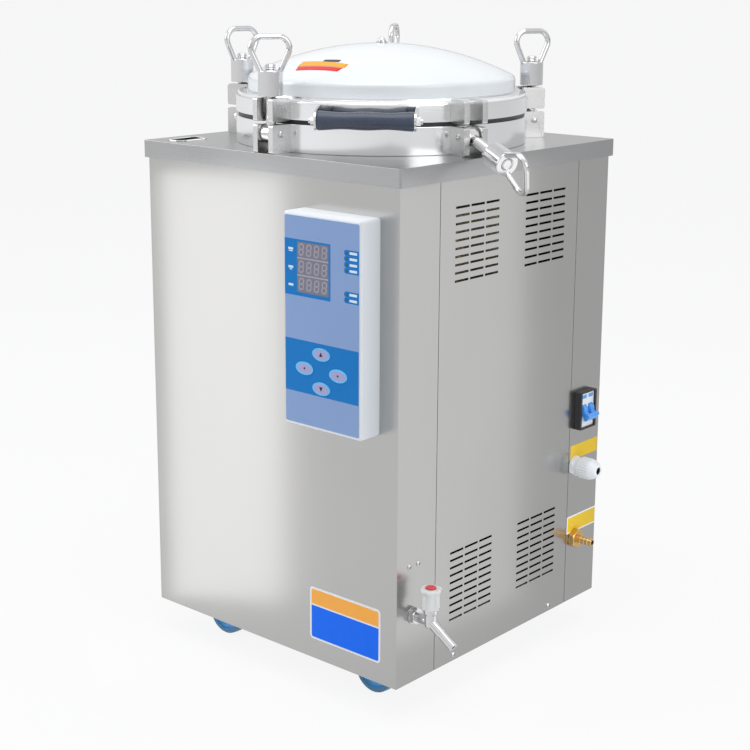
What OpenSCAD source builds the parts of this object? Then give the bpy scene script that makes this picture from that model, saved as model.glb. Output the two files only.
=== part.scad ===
// Vertical top-loading autoclave on casters.
// Frame: millimetres, +Z up, -Y is the front with the control panel, +X is the side with the tap.
// The origin is on the chamber's axis, in the underside of the base tray.

/* [Cabinet] */
// Width of the cabinet, which is square in plan
cab_w = 520; // [500:5:640]
// Height of the side sheets above the underside of the base tray
cab_rise = 724; // [700:4:840]
// How far the side sheets hang below the underside of the base tray
skirt_drop = 46; // [30:1:60]
// Thickness of the side sheets
sheet_t = 1.5; // [1:0.1:2]
// Thickness of the base tray
tray_t = 2; // [1.5:0.5:4]
// Height of the base tray's turned-up edge
tray_lip_h = 26; // [16:1:40]
// Width of the fixed strip in front of the access panel
strip_front_w = 88; // [70:1:100]
// Width of the fixed strip behind the access panel
strip_rear_w = 84; // [76:1:100]
// Open seam on each side of the access panel
seam_gap = 1.2; // [0.5:0.1:2]
// Width of the flange that the access panel lies against
return_w = 15; // [10:1:20]

/* [Louvres] */
// Length of one ventilation slot
slot_l = 32; // [20:1:34]
// Height of one ventilation slot
slot_h = 3.5; // [2:0.5:6]
// Distance from one slot to the next along a row
slot_pitch_y = 36; // [36:1:40]
// Distance from one row of slots to the next
slot_pitch_z = 12; // [8:0.5:14]
// Slots side by side in one group
slot_cols = 3; // [1:1:4]
// Rows of slots in one group
slot_rows = 10; // [4:1:10]

/* [Deck] */
// How far the deck stands out past the side sheets
deck_over = 6; // [3:0.5:12]
// Height of the deck's turned-down rim
deck_rim = 27; // [15:1:40]
// Thickness of the deck
deck_t = 2; // [1:0.5:4]
// Radius of the deck's upright corners
deck_corner_r = 4; // [3:0.5:10]
// Length of the recessed grip in the deck
grip_l = 56; // [50:1:80]
// Width of the recessed grip in the deck
grip_w = 30; // [24:1:40]
// Depth of the recessed grip's cup
grip_deep = 18; // [10:1:24]

/* [Chamber] */
// Width of the ring between the chamber's wall and the outside of its flange
mouth_w = 59.5; // [54:0.5:90]
// Thickness of the chamber's wall
chamber_t = 3; // [2:0.5:5]
// Height of the chamber's inner floor above the tray's underside
chamber_floor_z = 120; // [100:5:200]
// Radius of the bend between the chamber's floor and wall
chamber_bend_r = 40; // [20:5:60]
// Distance from the side sheets to the outside of the flanges
flange_inset = 30.5; // [25:0.5:45]
// Height of the chamber's flange above the deck
flange_h = 42; // [30:1:55]
// Thickness of the chamber flange's top plate
flange_plate_t = 14; // [8:1:20]
// Thickness of the chamber flange's outer band
flange_band_t = 4; // [3:0.5:8]
// Thickness of the insulation round the chamber
insulation_t = 24; // [10:1:28]

/* [Basket] */
// Gap between the basket and the chamber's wall
basket_gap = 12; // [10:1:50]
// Height of the basket
basket_h = 500; // [300:10:520]
// Thickness of the basket's sheet
basket_t = 1.5; // [1:0.5:3]

/* [Lid] */
// Gap between the two flanges, which the gasket fills
flange_gap = 6; // [5:0.1:9]
// Height of the lid's flange at its outer edge
lid_flange_h = 30; // [22:1:36]
// Radius of the lid flange's rounded upper edge
lid_edge_r = 6; // [3:1:9]
// Height of the step that the cover stands on
lid_step_h = 2.5; // [2:0.5:6]
// Rise of the lid's pressure head
head_rise = 46; // [30:1:48]
// Thickness of the lid's pressure head
head_t = 3; // [2:0.5:5]
// How much smaller in radius the white cover is than the lid's flange
cover_inset = 19; // [17:0.5:34]
// Height of the cover's upright skirt, with its rounded edge
cover_skirt_h = 21; // [16:1:26]
// Rise of the cover's dome above its skirt
cover_rise = 50; // [40:1:60]
// Radius of the cover's rounded edge
cover_edge_r = 9; // [6:1:12]
// Thickness of the cover
cover_t = 2.5; // [2:0.5:4]

/* [Clamps] */
// Distance from the outside of the flanges to the clamp bolts
clamp_out = 18.5; // [16.5:0.5:22.5]
// Distance from the outside of the flanges to the outer end of the lugs
lug_out = 35.5; // [30.5:0.5:36.5]
// Width of a lug across its two plates
lug_w = 41; // [36:1:44]
// Width of the slot between a lug's plates
lug_slot_w = 22; // [20:0.5:24]
// How far a lid lug stands above the lid's flange
lid_lug_rise = 2.2; // [0:0.1:4]
// Height of the clamp pivot above the deck
pivot_h = 28; // [24:0.5:30]
// Diameter of the clamp pivot pins
pivot_d = 8; // [6:0.5:12]
// Diameter of the eye at the foot of a clamp bolt
eye_d = 28; // [24:1:29]
// Diameter of the clamp bolts
bolt_d = 16; // [10:1:18]
// Height of a ring nut's body
nut_h = 37; // [28:1:44]
// Diameter of a ring nut's body
nut_d = 37; // [32:1:40]
// Width of a nut's ring over its outside
ring_w = 67; // [56:1:68]
// Height of a nut's ring above the bottom of the nut
ring_h = 90; // [76:1:96]
// Thickness of the ring's bar
ring_bar_d = 9; // [7:0.5:10]

/* [Handle] */
// Length of the handle's grip
hgrip_l = 139; // [110:1:150]
// Diameter of the grip at its ends
hgrip_d = 28; // [24:1:30]
// How much thinner the grip is at its waists
hgrip_waist = 3; // [0:0.2:5]
// Distance from the outside of the flanges to the middle of the grip
hgrip_out = 34.5; // [26.5:0.5:42.5]
// Height of the grip's middle above the deck
hgrip_z = 54; // [50:0.5:58]

/* [Casters] */
// Diameter of a caster wheel
wheel_d = 75; // [60:1:76]
// Width of a caster wheel
wheel_w = 28; // [20:1:30]
// Distance from a caster's swivel axis to its axle
caster_trail = 25; // [15:1:26]
// Distance from the side sheets to a swivel axis
caster_inset = 70; // [68:1:110]
// Height of the tray's underside above the floor
caster_h = 102; // [96:1:110]
// Diameter of a wheel's axle
axle_d = 8; // [6:0.5:10]

/* [Control panel] */
// Width of the control panel's housing
panel_w = 150; // [130:1:180]
// Height of the control panel's housing
panel_h = 316; // [280:1:340]
// Depth of the control panel's housing
panel_deep = 40; // [30:1:50]
// Distance from the right-hand side sheet to the middle of the housing
panel_inset = 110.5; // [100:0.5:140]
// Distance from the top of the side sheets down to the housing's middle
panel_drop = 228; // [214:1:284]
// Wall of the housing
panel_wall = 2.5; // [2:0.5:4]
// Radius of the housing's rounded edges
panel_edge_r = 5; // [3:0.5:6]
// Width of the printed front sheet
overlay_w = 143; // [120:1:146]
// Height of the printed front sheet
overlay_h = 306; // [270:1:310]
// Thickness of the printed front sheet
overlay_t = 0.8; // [0.5:0.1:1.5]
// Width of one key
key_w = 34.5; // [24:0.5:36]
// Height of one key
key_h = 19.5; // [14:0.5:22]
// Travel of a key
key_travel = 0.6; // [0.4:0.1:0.8]

/* [Side fittings] */
// Height of the drain tap above the tray's underside
tap_z = 60; // [50:1:70]
// Distance of the drain tap behind the front face
tap_from_front = 38; // [34:1:50]
// Distance from the side sheet to the tap's upright axis
tap_reach = 33; // [28:1:40]
// Diameter of the tap's spout
spout_d = 14; // [10:0.5:15]
// Diameter of the tap's bore
tap_bore_d = 7; // [5:0.5:8]
// Length of the tap's spout
spout_l = 52; // [40:1:60]
// Tilt of the spout below the horizontal
spout_tilt = 33; // [20:1:45]
// Diameter of the tap's knob
knob_d = 28; // [20:1:30]
// Height of the tap's knob
knob_h = 32; // [24:1:36]
// Distance of the circuit breaker in front of the rear face
breaker_inset = 49; // [44:1:56]
// Distance of the cable gland in front of the rear face
gland_inset = 68; // [50:1:68]
// Distance of the exhaust outlet in front of the rear face
outlet_inset = 63; // [50:1:64]
// Height of the circuit breaker's middle above the tray's underside
breaker_z = 286; // [250:1:320]
// Height of the cable gland above the tray's underside
gland_z = 192; // [170:1:200]
// Height of the exhaust outlet above the tray's underside
outlet_z = 64; // [50:1:80]
// Diameter of the cable gland's bore
gland_bore_d = 12; // [8:1:16]
// Diameter of the exhaust outlet's bore
outlet_bore_d = 7; // [5:0.5:9]

/* [Hidden] */

// General clearances and overruns
cut = 1;
fit_gap = 0.06;
seat_gap = 0.3;
play = 0.5;
lid_lug_drop = 1.5;
$fn = 64;

// Heights that follow from the driving sizes
deck_top_z = cab_rise + deck_t;
flange_top_z = deck_top_z + flange_h;
lid_bottom_z = flange_top_z + flange_gap;
lid_top_z = lid_bottom_z + lid_flange_h;
cover_bottom_z = lid_top_z + lid_step_h;
cover_top_z = cover_bottom_z + cover_skirt_h + cover_rise;
pivot_z = deck_top_z + pivot_h;
lid_lug_low_z = lid_bottom_z - lid_lug_drop;
lid_lug_top_z = lid_top_z + lid_lug_rise;
vessel_lug_h = flange_h - fit_gap;
half_w = cab_w / 2;
flange_r = half_w - flange_inset;
chamber_r = flange_r - mouth_w;
basket_r = chamber_r - basket_gap;
cover_r = flange_r - cover_inset;
clamp_r = flange_r + clamp_out;
lug_end_r = flange_r + lug_out;
hgrip_r = flange_r + hgrip_out;
caster_offset = half_w - caster_inset;
panel_x = half_w - panel_inset;
panel_z = cab_rise - panel_drop;

// Clamps: azimuth from +X, how far each one is swung out, and how far its ring is turned
clamp_azimuths = [270, 342, 54, 126, 198];
clamp_open_angles = [0, 108, 0, 0, 0];
ring_turns = [-30, 15, 13, -6, 63];
nut_gap = 2.6;
nut_low = lid_lug_top_z - pivot_z + nut_gap;
bolt_past_nut = 9;
nut_backoffs = [0, bolt_past_nut, 0, 0, 0];
bolt_top = nut_low + nut_h + bolt_past_nut;
bolt_chamfer = 1.5;
eye_w = lug_slot_w - 2 * seat_gap;
eye_edge_r = 5;
pin_head_d = pivot_d + 2;
pin_head_t = 3;
lug_corner_r = 3;
ring_corner_r = 17;
ring_lean = 25;
ring_corner_x = ring_w / 2 - ring_corner_r - ring_bar_d / 2;
ring_corner_z = ring_h - ring_corner_r - ring_bar_d / 2;
ring_bar_step = 0.1;
ring_leg_l = (ring_corner_x + ring_corner_r * cos(ring_lean) - nut_d / 3) / sin(ring_lean);
nut_chamfer = 1.2;

// Lid hinge at the rear
hinge_y = flange_r + 22.5;
hinge_z = lid_bottom_z + 9;
hinge_eye_r = 12;
hinge_arm_w = 22;
hinge_plate_t = 8;

// Handle
handle_azimuth = 306;
ear_t = 3;
ear_r = 14;
handle_rod_d = 8;
handle_nut_d = 13;
handle_nut_t = 9;
strap_h = 22;
strap_span = 34;

// Casters
caster_turns = [180, 0, 180, 0];
caster_signs = [[-1, -1], [1, -1], [-1, 1], [1, 1]];
caster_plate_w = 64;
caster_plate_t = 3;
caster_corner_r = 6;
race_d = 32;
race_h = 9;
kingpin_d = 10;
kingpin_head_d = 17;
kingpin_head_t = 3;
crown_d = 46;
crown_t = 5;
crown_top_z = -race_h - seat_gap;
fork_t = 3;
fork_gap = 1.2;
fork_end_r = 13;
axle_z = wheel_d / 2 - caster_h;
axle_head_d = 14;
axle_head_t = 4;
hub_d = 26;
tread_crown = 3;
web_inset = 4;

// Control panel
panel_front_y = -half_w - panel_deep;
window_size_share = [0.43, 0.245];
window_centre_share = [-0.115, 0.262];
key_place_shares = [[0, -0.14], [0, -0.306], [-0.23, -0.223], [0.23, -0.2245]];
key_proud = 1;
key_gap = 0.4;
board_t = 1.6;
board_inset = 12;
board_post_d = 7;
wire_hole_d = 30;

// Side fittings
tap_y = -half_w + tap_from_front;
breaker_y = half_w - breaker_inset;
gland_y = half_w - gland_inset;
outlet_y = half_w - outlet_inset;
screw_head_d = 8;
screw_head_h = 2.5;
screw_d = 4;
screw_l = 8;
access_screw_inset = 46;
access_screw_z = 10;
strip_screw_z = 139;
strip_screw_gap = 20;
breaker_w = 36;
breaker_h = 58;
breaker_deep = 62;
breaker_proud = 9;
bezel_w = 46;
bezel_h = 64;
bezel_t = 12;
toggle_pivot_x = half_w + 3;
toggle_hub_r = 11;
toggle_hub_w = 12;
toggle_reach = 22;
toggle_bar_t = 8;
toggle_bar_h = 13;
toggle_tilt = 34;
toggle_pole_gap = 18;

// Small sizes of the fittings
slot_group_share = 0.2485;
slot_group_zs = [77.5, cab_rise - 120];
grip_from_side = 40;
grip_from_front = 46;
grip_rim_t = 1.5;
grip_rim_w = 4;
deck_hole_r = flange_r - 2 * flange_band_t;
hinge_clear = 1.5;
heater_tube_d = 12;
heater_leg_x = chamber_r - 80;
heater_stub_l = 25;
heater_rise = 30;
heater_z = chamber_floor_z + heater_rise;
steam_plate_rise = 72;
steam_plate_z = chamber_floor_z + steam_plate_rise;
steam_hole_d = 9;
steam_hole_pitch = 32;
steam_leg_r = basket_r - 38;
steam_leg_d = 10;
steam_leg_turn = 97.5;
steam_hole_rings = floor((steam_leg_r + steam_leg_d) / steam_hole_pitch);
basket_bead_d = 6;
basket_hole_d = 10;
basket_hole_pitch = 40;
basket_hole_rings = floor((basket_r - 2 * basket_hole_d) / basket_hole_pitch);
insulation_low_z = chamber_floor_z + chamber_bend_r;
insulation_h = cab_rise - insulation_low_z - 84;
pipe_d = 16;
pipe_bore_d = 12;
pipe_collar_t = 4;
drain_x = 60;
drain_y = -70;
exhaust_x = 60;
exhaust_y = half_w - 38;
exhaust_z = cab_rise - 54;
solenoid_z = 320;
solenoid_w = 36;
tap_tail_d = 15;
tap_tail_l = 24;
tap_nut_d = 27;
tap_bore_swell = 1;
spout_step = 2;
spout_tip_l = 28;
tap_nut_t = 9;
tap_barrel_d = 19;
tap_neck_h = 20;
tap_stem_d = tap_barrel_d - 7;
knob_low = tap_neck_h + seat_gap;
knob_crown_h = 7;
knob_crown_over = 3;
knob_flutes = 6;
flute_d = 7;
cap_d = 16;
cap_h = 4;
outlet_hex_d = 34;
outlet_hex_t = 11;
outlet_thread_d = 17;
outlet_tail_l = 20;
outlet_stem_d = 13;
outlet_stem_l = 6;
barb_l = 7;
barb_rise = 1;
gland_d = 36;
gland_nut_d = 32;
gland_base_t = 7;
gland_step = 4;
gland_neck_l = 8;
gland_cap_l = 18;
gland_dome_l = 15;
gland_tip_d = 22;
gland_thread_d = 22;
gland_tail_l = 14;
bezel_corner_r = 3;
toggle_bar_w = 32;
key_plunger_d = 8;
head_seat_w = 6;
head_seat_up = 14;
head_seat_z = lid_bottom_z + head_seat_up;
gasket_in_r = chamber_r + 12;
gasket_out_r = flange_r - 4;
gasket_gap = 0.2;
stud_d = 8;
cover_washer_d = 18;
cover_washer_t = 1.5;
acorn_d = 13;
acorn_h = 2.5;
strap_low_z = lid_top_z - lid_edge_r - strap_h;
ear_low = 2;

function ellipse_points(a, b, n = 48) = [for (i = [0 : n - 1]) [a * cos(i * 360 / n), b * sin(i * 360 / n)]];

// Rounded rectangle, centred
module rounded_rect(w, h, r) {
    square([w - 2 * r, h], center = true);
    square([w, h - 2 * r], center = true);
    for (x = [-1, 1], y = [-1, 1])
        translate([x * (w / 2 - r), y * (h / 2 - r)]) circle(r);
}

// Domed head that stands on z = 0
module button(d, h) {
    rotate_extrude() intersection() {
        translate([0, h - d]) circle(r = d);
        square([d / 2, h]);
    }
}

// Rod along +X from the place where it is put
module rod_x(d, l) { rotate([0, 90, 0]) cylinder(d = d, h = l); }

// Rod along Y, centred
module rod_y(d, l) { rotate([90, 0, 0]) cylinder(d = d, h = l, center = true); }

// Hexagonal prism along +X, measured over its corners
module hex_x(d, l) { rotate([0, 90, 0]) cylinder(d = d, h = l, $fn = 6); }

// Cabinet

// Tray with a turned-up edge and a pressed seat in each corner, where a caster's plate lies flush
module base_tray() {
    inner_w = cab_w - 4 * sheet_t;
    seat_in = caster_offset - caster_plate_w / 2 - play;
    color("silver") difference() {
        translate([-inner_w / 2, -inner_w / 2, 0]) cube([inner_w, inner_w, tray_lip_h]);
        difference() {
            translate([tray_t - inner_w / 2, tray_t - inner_w / 2, tray_t])
                cube([inner_w - 2 * tray_t, inner_w - 2 * tray_t, tray_lip_h]);
            for (a = [0, 90, 180, 270]) rotate([0, 0, a]) translate([seat_in - tray_t, seat_in - tray_t, 0])
                cube([inner_w, inner_w, caster_plate_t + tray_t]);
        }
        for (a = [0, 90, 180, 270]) rotate([0, 0, a]) translate([seat_in, seat_in, -cut])
            cube([inner_w, inner_w, caster_plate_t + cut]);
    }
}

// Plan of the front sheet with the strip that it turns round the right-hand corner
module front_plan() {
    strip_end = -half_w + strip_front_w;
    translate([-half_w, -half_w]) square([cab_w, sheet_t]);
    translate([half_w - sheet_t, -half_w]) square([sheet_t, strip_front_w]);
    translate([half_w - 2 * sheet_t, strip_end - sheet_t]) square([2 * sheet_t, sheet_t]);
    translate([half_w - 2 * sheet_t, strip_end - sheet_t]) square([sheet_t, return_w + sheet_t]);
}

module front_panel() {
    color("silver") difference() {
        translate([0, 0, -skirt_drop]) linear_extrude(height = cab_rise + skirt_drop) front_plan();
        translate([panel_x, -half_w, panel_z]) rod_y(wire_hole_d, 4 * sheet_t);
        translate([half_w - 2 * sheet_t, tap_y, tap_z]) rod_x(tap_tail_d + 2 * play, 4 * sheet_t);
        for (side = [-1, 1])
            translate([half_w - 2 * sheet_t, tap_y + side * strip_screw_gap / 2, strip_screw_z])
                rod_x(screw_d + 2 * fit_gap, 4 * sheet_t);
    }
}

// Plan of the sheet that wraps the left side, the back and the strip behind the access panel
module rear_plan() {
    strip_start = half_w - strip_rear_w;
    translate([-half_w, -half_w + sheet_t]) square([sheet_t, cab_w - sheet_t]);
    translate([-half_w, -half_w + sheet_t]) square([return_w, sheet_t]);
    translate([-half_w, half_w - sheet_t]) square([cab_w, sheet_t]);
    translate([half_w - sheet_t, strip_start]) square([sheet_t, strip_rear_w]);
    translate([half_w - 2 * sheet_t, strip_start]) square([2 * sheet_t, sheet_t]);
    translate([half_w - 2 * sheet_t, strip_start - return_w]) square([sheet_t, return_w + sheet_t]);
}

module rear_wrap() {
    color("silver") difference() {
        translate([0, 0, -skirt_drop]) linear_extrude(height = cab_rise + skirt_drop) rear_plan();
        translate([half_w - 2 * sheet_t, breaker_y - breaker_w / 2 - play, breaker_z - breaker_h / 2 - play])
            cube([4 * sheet_t, breaker_w + 2 * play, breaker_h + 2 * play]);
        translate([half_w - 2 * sheet_t, gland_y, gland_z]) rod_x(gland_thread_d + 2 * play, 4 * sheet_t);
        translate([half_w - 2 * sheet_t, outlet_y, outlet_z]) rod_x(outlet_thread_d + 2 * play, 4 * sheet_t);
    }
}

// One group of ventilation slots about its own middle
module slot_group() {
    for (col = [0 : slot_cols - 1], row = [0 : slot_rows - 1])
        translate([(col - (slot_cols - 1) / 2) * slot_pitch_y, (row - (slot_rows - 1) / 2) * slot_pitch_z])
            square([slot_l, slot_h], center = true);
}

module side_access_panel() {
    low_y = -half_w + strip_front_w + seam_gap;
    high_y = half_w - strip_rear_w - seam_gap;
    group_y = slot_group_share * (high_y - low_y);
    color("silver") translate([half_w - sheet_t, 0, 0]) rotate([90, 0, 90]) linear_extrude(height = sheet_t)
        difference() {
            translate([low_y, -skirt_drop]) square([high_y - low_y, cab_rise + skirt_drop]);
            for (y = [-1, 1], z = slot_group_zs)
                translate([(low_y + high_y) / 2 + y * group_y, z]) slot_group();
            for (y = [low_y + access_screw_inset, high_y - access_screw_inset])
                translate([y, access_screw_z - skirt_drop]) circle(d = screw_d + 2 * fit_gap);
        }
}

module round_screw() {
    rotate([0, 90, 0]) button(screw_head_d, screw_head_h);
    translate([-screw_l, 0, 0]) rod_x(screw_d, screw_l);
}

module panel_screws() {
    low_y = -half_w + strip_front_w + seam_gap + access_screw_inset;
    high_y = half_w - strip_rear_w - seam_gap - access_screw_inset;
    color("gainsboro") {
        for (y = [low_y, high_y]) translate([half_w, y, access_screw_z - skirt_drop]) round_screw();
        for (y = [-1, 1]) translate([half_w, tap_y + y * strip_screw_gap / 2, strip_screw_z]) round_screw();
    }
}

module grip_place() { translate([-half_w + grip_from_side, -half_w + grip_from_front, deck_top_z]) children(); }

module deck() {
    size_w = cab_w + 2 * deck_over;
    color("lightgray") difference() {
        translate([0, 0, deck_top_z - deck_rim]) linear_extrude(height = deck_rim)
            rounded_rect(size_w, size_w, deck_corner_r);
        translate([0, 0, deck_top_z - deck_rim - cut]) linear_extrude(height = deck_rim - deck_t + cut)
            rounded_rect(size_w - 2 * deck_t, size_w - 2 * deck_t, deck_corner_r - deck_t / 2);
        translate([0, 0, deck_top_z - 2 * deck_t]) cylinder(r = deck_hole_r, h = 3 * deck_t, $fn = 96);
        grip_place() translate([0, 0, -2 * deck_t]) linear_extrude(height = 3 * deck_t)
            rounded_rect(grip_w + play, grip_l + play, grip_w / 3);
    }
}

module deck_grip() {
    color("dimgray") grip_place() difference() {
        union() {
            linear_extrude(height = grip_rim_t)
                rounded_rect(grip_w + 2 * grip_rim_w, grip_l + 2 * grip_rim_w, grip_w / 3 + grip_rim_w);
            translate([0, 0, -grip_deep]) linear_extrude(height = grip_deep) rounded_rect(grip_w, grip_l, grip_w / 3);
        }
        translate([0, 0, grip_rim_t - grip_deep]) linear_extrude(height = grip_deep + cut)
            rounded_rect(grip_w - 2 * grip_rim_t, grip_l - 2 * grip_rim_t, grip_w / 3 - grip_rim_t);
    }
}

// Chamber

module vessel_shell() {
    floor_low = chamber_floor_z - chamber_t;
    neck_z = flange_top_z - flange_plate_t;
    color("gainsboro") difference() {
        rotate_extrude($fn = 96) difference() {
            round_bottom(chamber_r + chamber_t, floor_low, neck_z, chamber_bend_r + chamber_t);
            round_bottom(chamber_r, chamber_floor_z, neck_z + cut, chamber_bend_r);
        }
        for (x = [-1, 1]) translate([x * heater_leg_x, 0, floor_low - cut])
            cylinder(d = heater_tube_d + 2 * play, h = chamber_t + 2 * cut);
        translate([drain_x, drain_y, floor_low - cut]) cylinder(d = pipe_bore_d, h = chamber_t + 2 * cut);
        translate([exhaust_x, 0, exhaust_z]) rotate([-90, 0, 0]) cylinder(d = pipe_bore_d, h = chamber_r + 2 * chamber_t);
    }
}

// Half section of a vessel with a flat floor and a round bend, from its floor up to a height
module round_bottom(r, low, high, bend) {
    square_low = low + bend;
    translate([0, low]) square([r - bend, high - low]);
    translate([0, square_low]) square([r, high - square_low]);
    translate([r - bend, square_low]) circle(r = bend);
}

module vessel_flange() {
    color("silver") rotate_extrude($fn = 128) {
        translate([chamber_r, flange_top_z - flange_plate_t]) square([flange_r - chamber_r, flange_plate_t]);
        translate([flange_r - flange_band_t, deck_top_z]) square([flange_band_t, flange_h]);
    }
}

// Two plates that stand out from a flange, with rounded outer corners
module lug(h) {
    inner = flange_r - clamp_r - flange_band_t;
    outer = lug_end_r - clamp_r;
    plate_t = (lug_w - lug_slot_w) / 2;
    for (side = [-1, 1]) translate([(inner + outer) / 2, side * (lug_slot_w + plate_t) / 2, h / 2])
        rotate([90, 0, 0]) linear_extrude(height = plate_t, center = true)
            rounded_rect(outer - inner, h, lug_corner_r);
}

module vessel_lugs() {
    color("silver") difference() {
        union() {
            for (a = clamp_azimuths) rotate([0, 0, a]) translate([clamp_r, 0, deck_top_z]) difference() {
                lug(vessel_lug_h);
                translate([0, 0, pivot_h]) rod_y(pivot_d, 2 * lug_w);
            }
            difference() {
                for (x = [-1, 1]) translate([x * (hinge_arm_w / 2 + seat_gap + hinge_plate_t / 2), 0, 0])
                    rotate([90, 0, 90]) linear_extrude(height = hinge_plate_t, center = true) hinge_profile();
                translate([0, hinge_y, hinge_z]) rod_x_centred(pivot_d, cab_w);
                translate([0, 0, flange_top_z]) cylinder(r = flange_r + hinge_clear, h = cab_rise, $fn = 128);
            }
        }
        cylinder(r = flange_r, h = flange_top_z + cut, $fn = 128);
    }
}

module rod_x_centred(d, l) { rotate([0, 90, 0]) cylinder(d = d, h = l, center = true); }

// Plate of the hinge fork: stands on the deck and rounds over the hinge pin
module hinge_profile() {
    translate([flange_r - flange_band_t, deck_top_z])
        square([hinge_y + hinge_eye_r - flange_r + flange_band_t, hinge_z - deck_top_z]);
    translate([hinge_y, hinge_z]) circle(r = hinge_eye_r);
}

// Headed pin along local Y, with a shank that passes a lug of the given width
module headed_pin(width) {
    rod_y(pivot_d - 2 * fit_gap, width + 2 * seat_gap);
    for (side = [-1, 1]) translate([0, side * width / 2, 0]) rotate([-90 * side, 0, 0])
        button(pin_head_d, pin_head_t);
}

module pivot_pins() {
    color("gainsboro") {
        for (a = clamp_azimuths) rotate([0, 0, a]) translate([clamp_r, 0, pivot_z]) headed_pin(lug_w);
        translate([0, hinge_y, hinge_z]) rotate([0, 0, 90])
            headed_pin(hinge_arm_w + 2 * seat_gap + 2 * hinge_plate_t);
    }
}

module insulation_jacket() {
    inner_r = chamber_r + chamber_t + seat_gap;
    color("khaki") translate([0, 0, insulation_low_z]) difference() {
        cylinder(r = inner_r + insulation_t, h = insulation_h, $fn = 96);
        translate([0, 0, -cut]) cylinder(r = inner_r, h = insulation_h + 2 * cut, $fn = 96);
    }
}

module heater_element() {
    leg_low = chamber_floor_z - chamber_t - heater_stub_l;
    color("gray") {
        translate([0, 0, heater_z]) rotate_extrude(angle = 180)
            translate([heater_leg_x, 0]) circle(d = heater_tube_d, $fn = 32);
        for (x = [-1, 1]) translate([x * heater_leg_x, 0, leg_low]) {
            cylinder(d = heater_tube_d, h = heater_z - leg_low, $fn = 32);
            translate([0, 0, heater_stub_l + chamber_t]) cylinder(d = 2 * heater_tube_d, h = heater_tube_d / 2);
        }
        for (x = [-1, 1]) translate([x * heater_leg_x, 0, heater_z]) sphere(d = heater_tube_d, $fn = 32);
    }
}

module steam_plate() {
    color("lightgray") {
        translate([0, 0, steam_plate_z]) linear_extrude(height = tray_t) difference() {
            circle(r = basket_r, $fn = 96);
            for (ring = [1 : steam_hole_rings], i = [0 : 6 * ring - 1]) rotate(i * 60 / ring)
                translate([ring * steam_hole_pitch, 0]) circle(d = steam_hole_d, $fn = 24);
        }
        for (a = [0, 120, 240]) rotate([0, 0, a + steam_leg_turn]) translate([steam_leg_r, 0, chamber_floor_z])
            cylinder(d = steam_leg_d, h = steam_plate_z - chamber_floor_z + tray_t / 2);
    }
}

module basket() {
    color("whitesmoke") translate([0, 0, steam_plate_z + tray_t]) difference() {
        rotate_extrude($fn = 96) {
            square([basket_r, basket_t]);
            translate([basket_r - basket_t, 0]) square([basket_t, basket_h - basket_bead_d]);
            translate([basket_r - basket_bead_d, basket_h - basket_bead_d]) square([basket_bead_d, basket_bead_d - seat_gap]);
        }
        for (ring = [1 : basket_hole_rings], i = [0 : 6 * ring - 1]) rotate(i * 60 / ring)
            translate([ring * basket_hole_pitch, 0, -cut]) cylinder(d = basket_hole_d, h = basket_t + 2 * cut, $fn = 24);
    }
}

// Straight pipe runs through a list of corners, with a ball in each corner
module pipe_run(points, d) {
    for (i = [0 : len(points) - 2]) {
        leg = points[i + 1] - points[i];
        turn_y = acos(leg[2] / norm(leg));
        turn_z = atan2(leg[1], leg[0]);
        translate(points[i]) rotate([0, turn_y, turn_z]) cylinder(d = d, h = norm(leg), $fn = 32);
    }
    for (i = [1 : len(points) - 2]) translate(points[i]) sphere(d = d, $fn = 32);
}

module drain_pipe() {
    floor_low = chamber_floor_z - chamber_t;
    color("silver") {
        pipe_run([
            [drain_x, drain_y, floor_low], [drain_x, drain_y, tap_z],
            [drain_x, tap_y, tap_z], [half_w - sheet_t - tap_tail_l, tap_y, tap_z]
        ], pipe_d);
        translate([drain_x, drain_y, floor_low - pipe_collar_t]) cylinder(d = 2 * pipe_d, h = pipe_collar_t);
    }
}

module exhaust_line() {
    wall_y = sqrt(pow(chamber_r + chamber_t, 2) - pow(exhaust_x, 2));
    color("silver") {
        difference() {
            pipe_run([
                [exhaust_x, wall_y - pipe_d, exhaust_z], [exhaust_x, exhaust_y, exhaust_z],
                [exhaust_x, exhaust_y, outlet_z], [exhaust_x + pipe_d, outlet_y, outlet_z],
                [half_w - sheet_t - outlet_tail_l, outlet_y, outlet_z]
            ], pipe_d);
            cylinder(r = chamber_r + chamber_t, h = cab_rise, $fn = 96);
        }
        translate([exhaust_x, exhaust_y, solenoid_z]) {
            cube([solenoid_w, solenoid_w, solenoid_w], center = true);
            rotate([0, -90, 0]) cylinder(d = 1.2 * solenoid_w, h = 1.8 * solenoid_w);
        }
        translate([exhaust_x, exhaust_y, exhaust_z]) {
            cylinder(d = 1.6 * pipe_d, h = 1.4 * pipe_d, $fn = 6);
            cylinder(d = pipe_d, h = 2.4 * pipe_d);
        }
    }
}

// Drain tap, with its tail through the side strip
module tap_place() { translate([half_w, tap_y, tap_z]) children(); }

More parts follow.
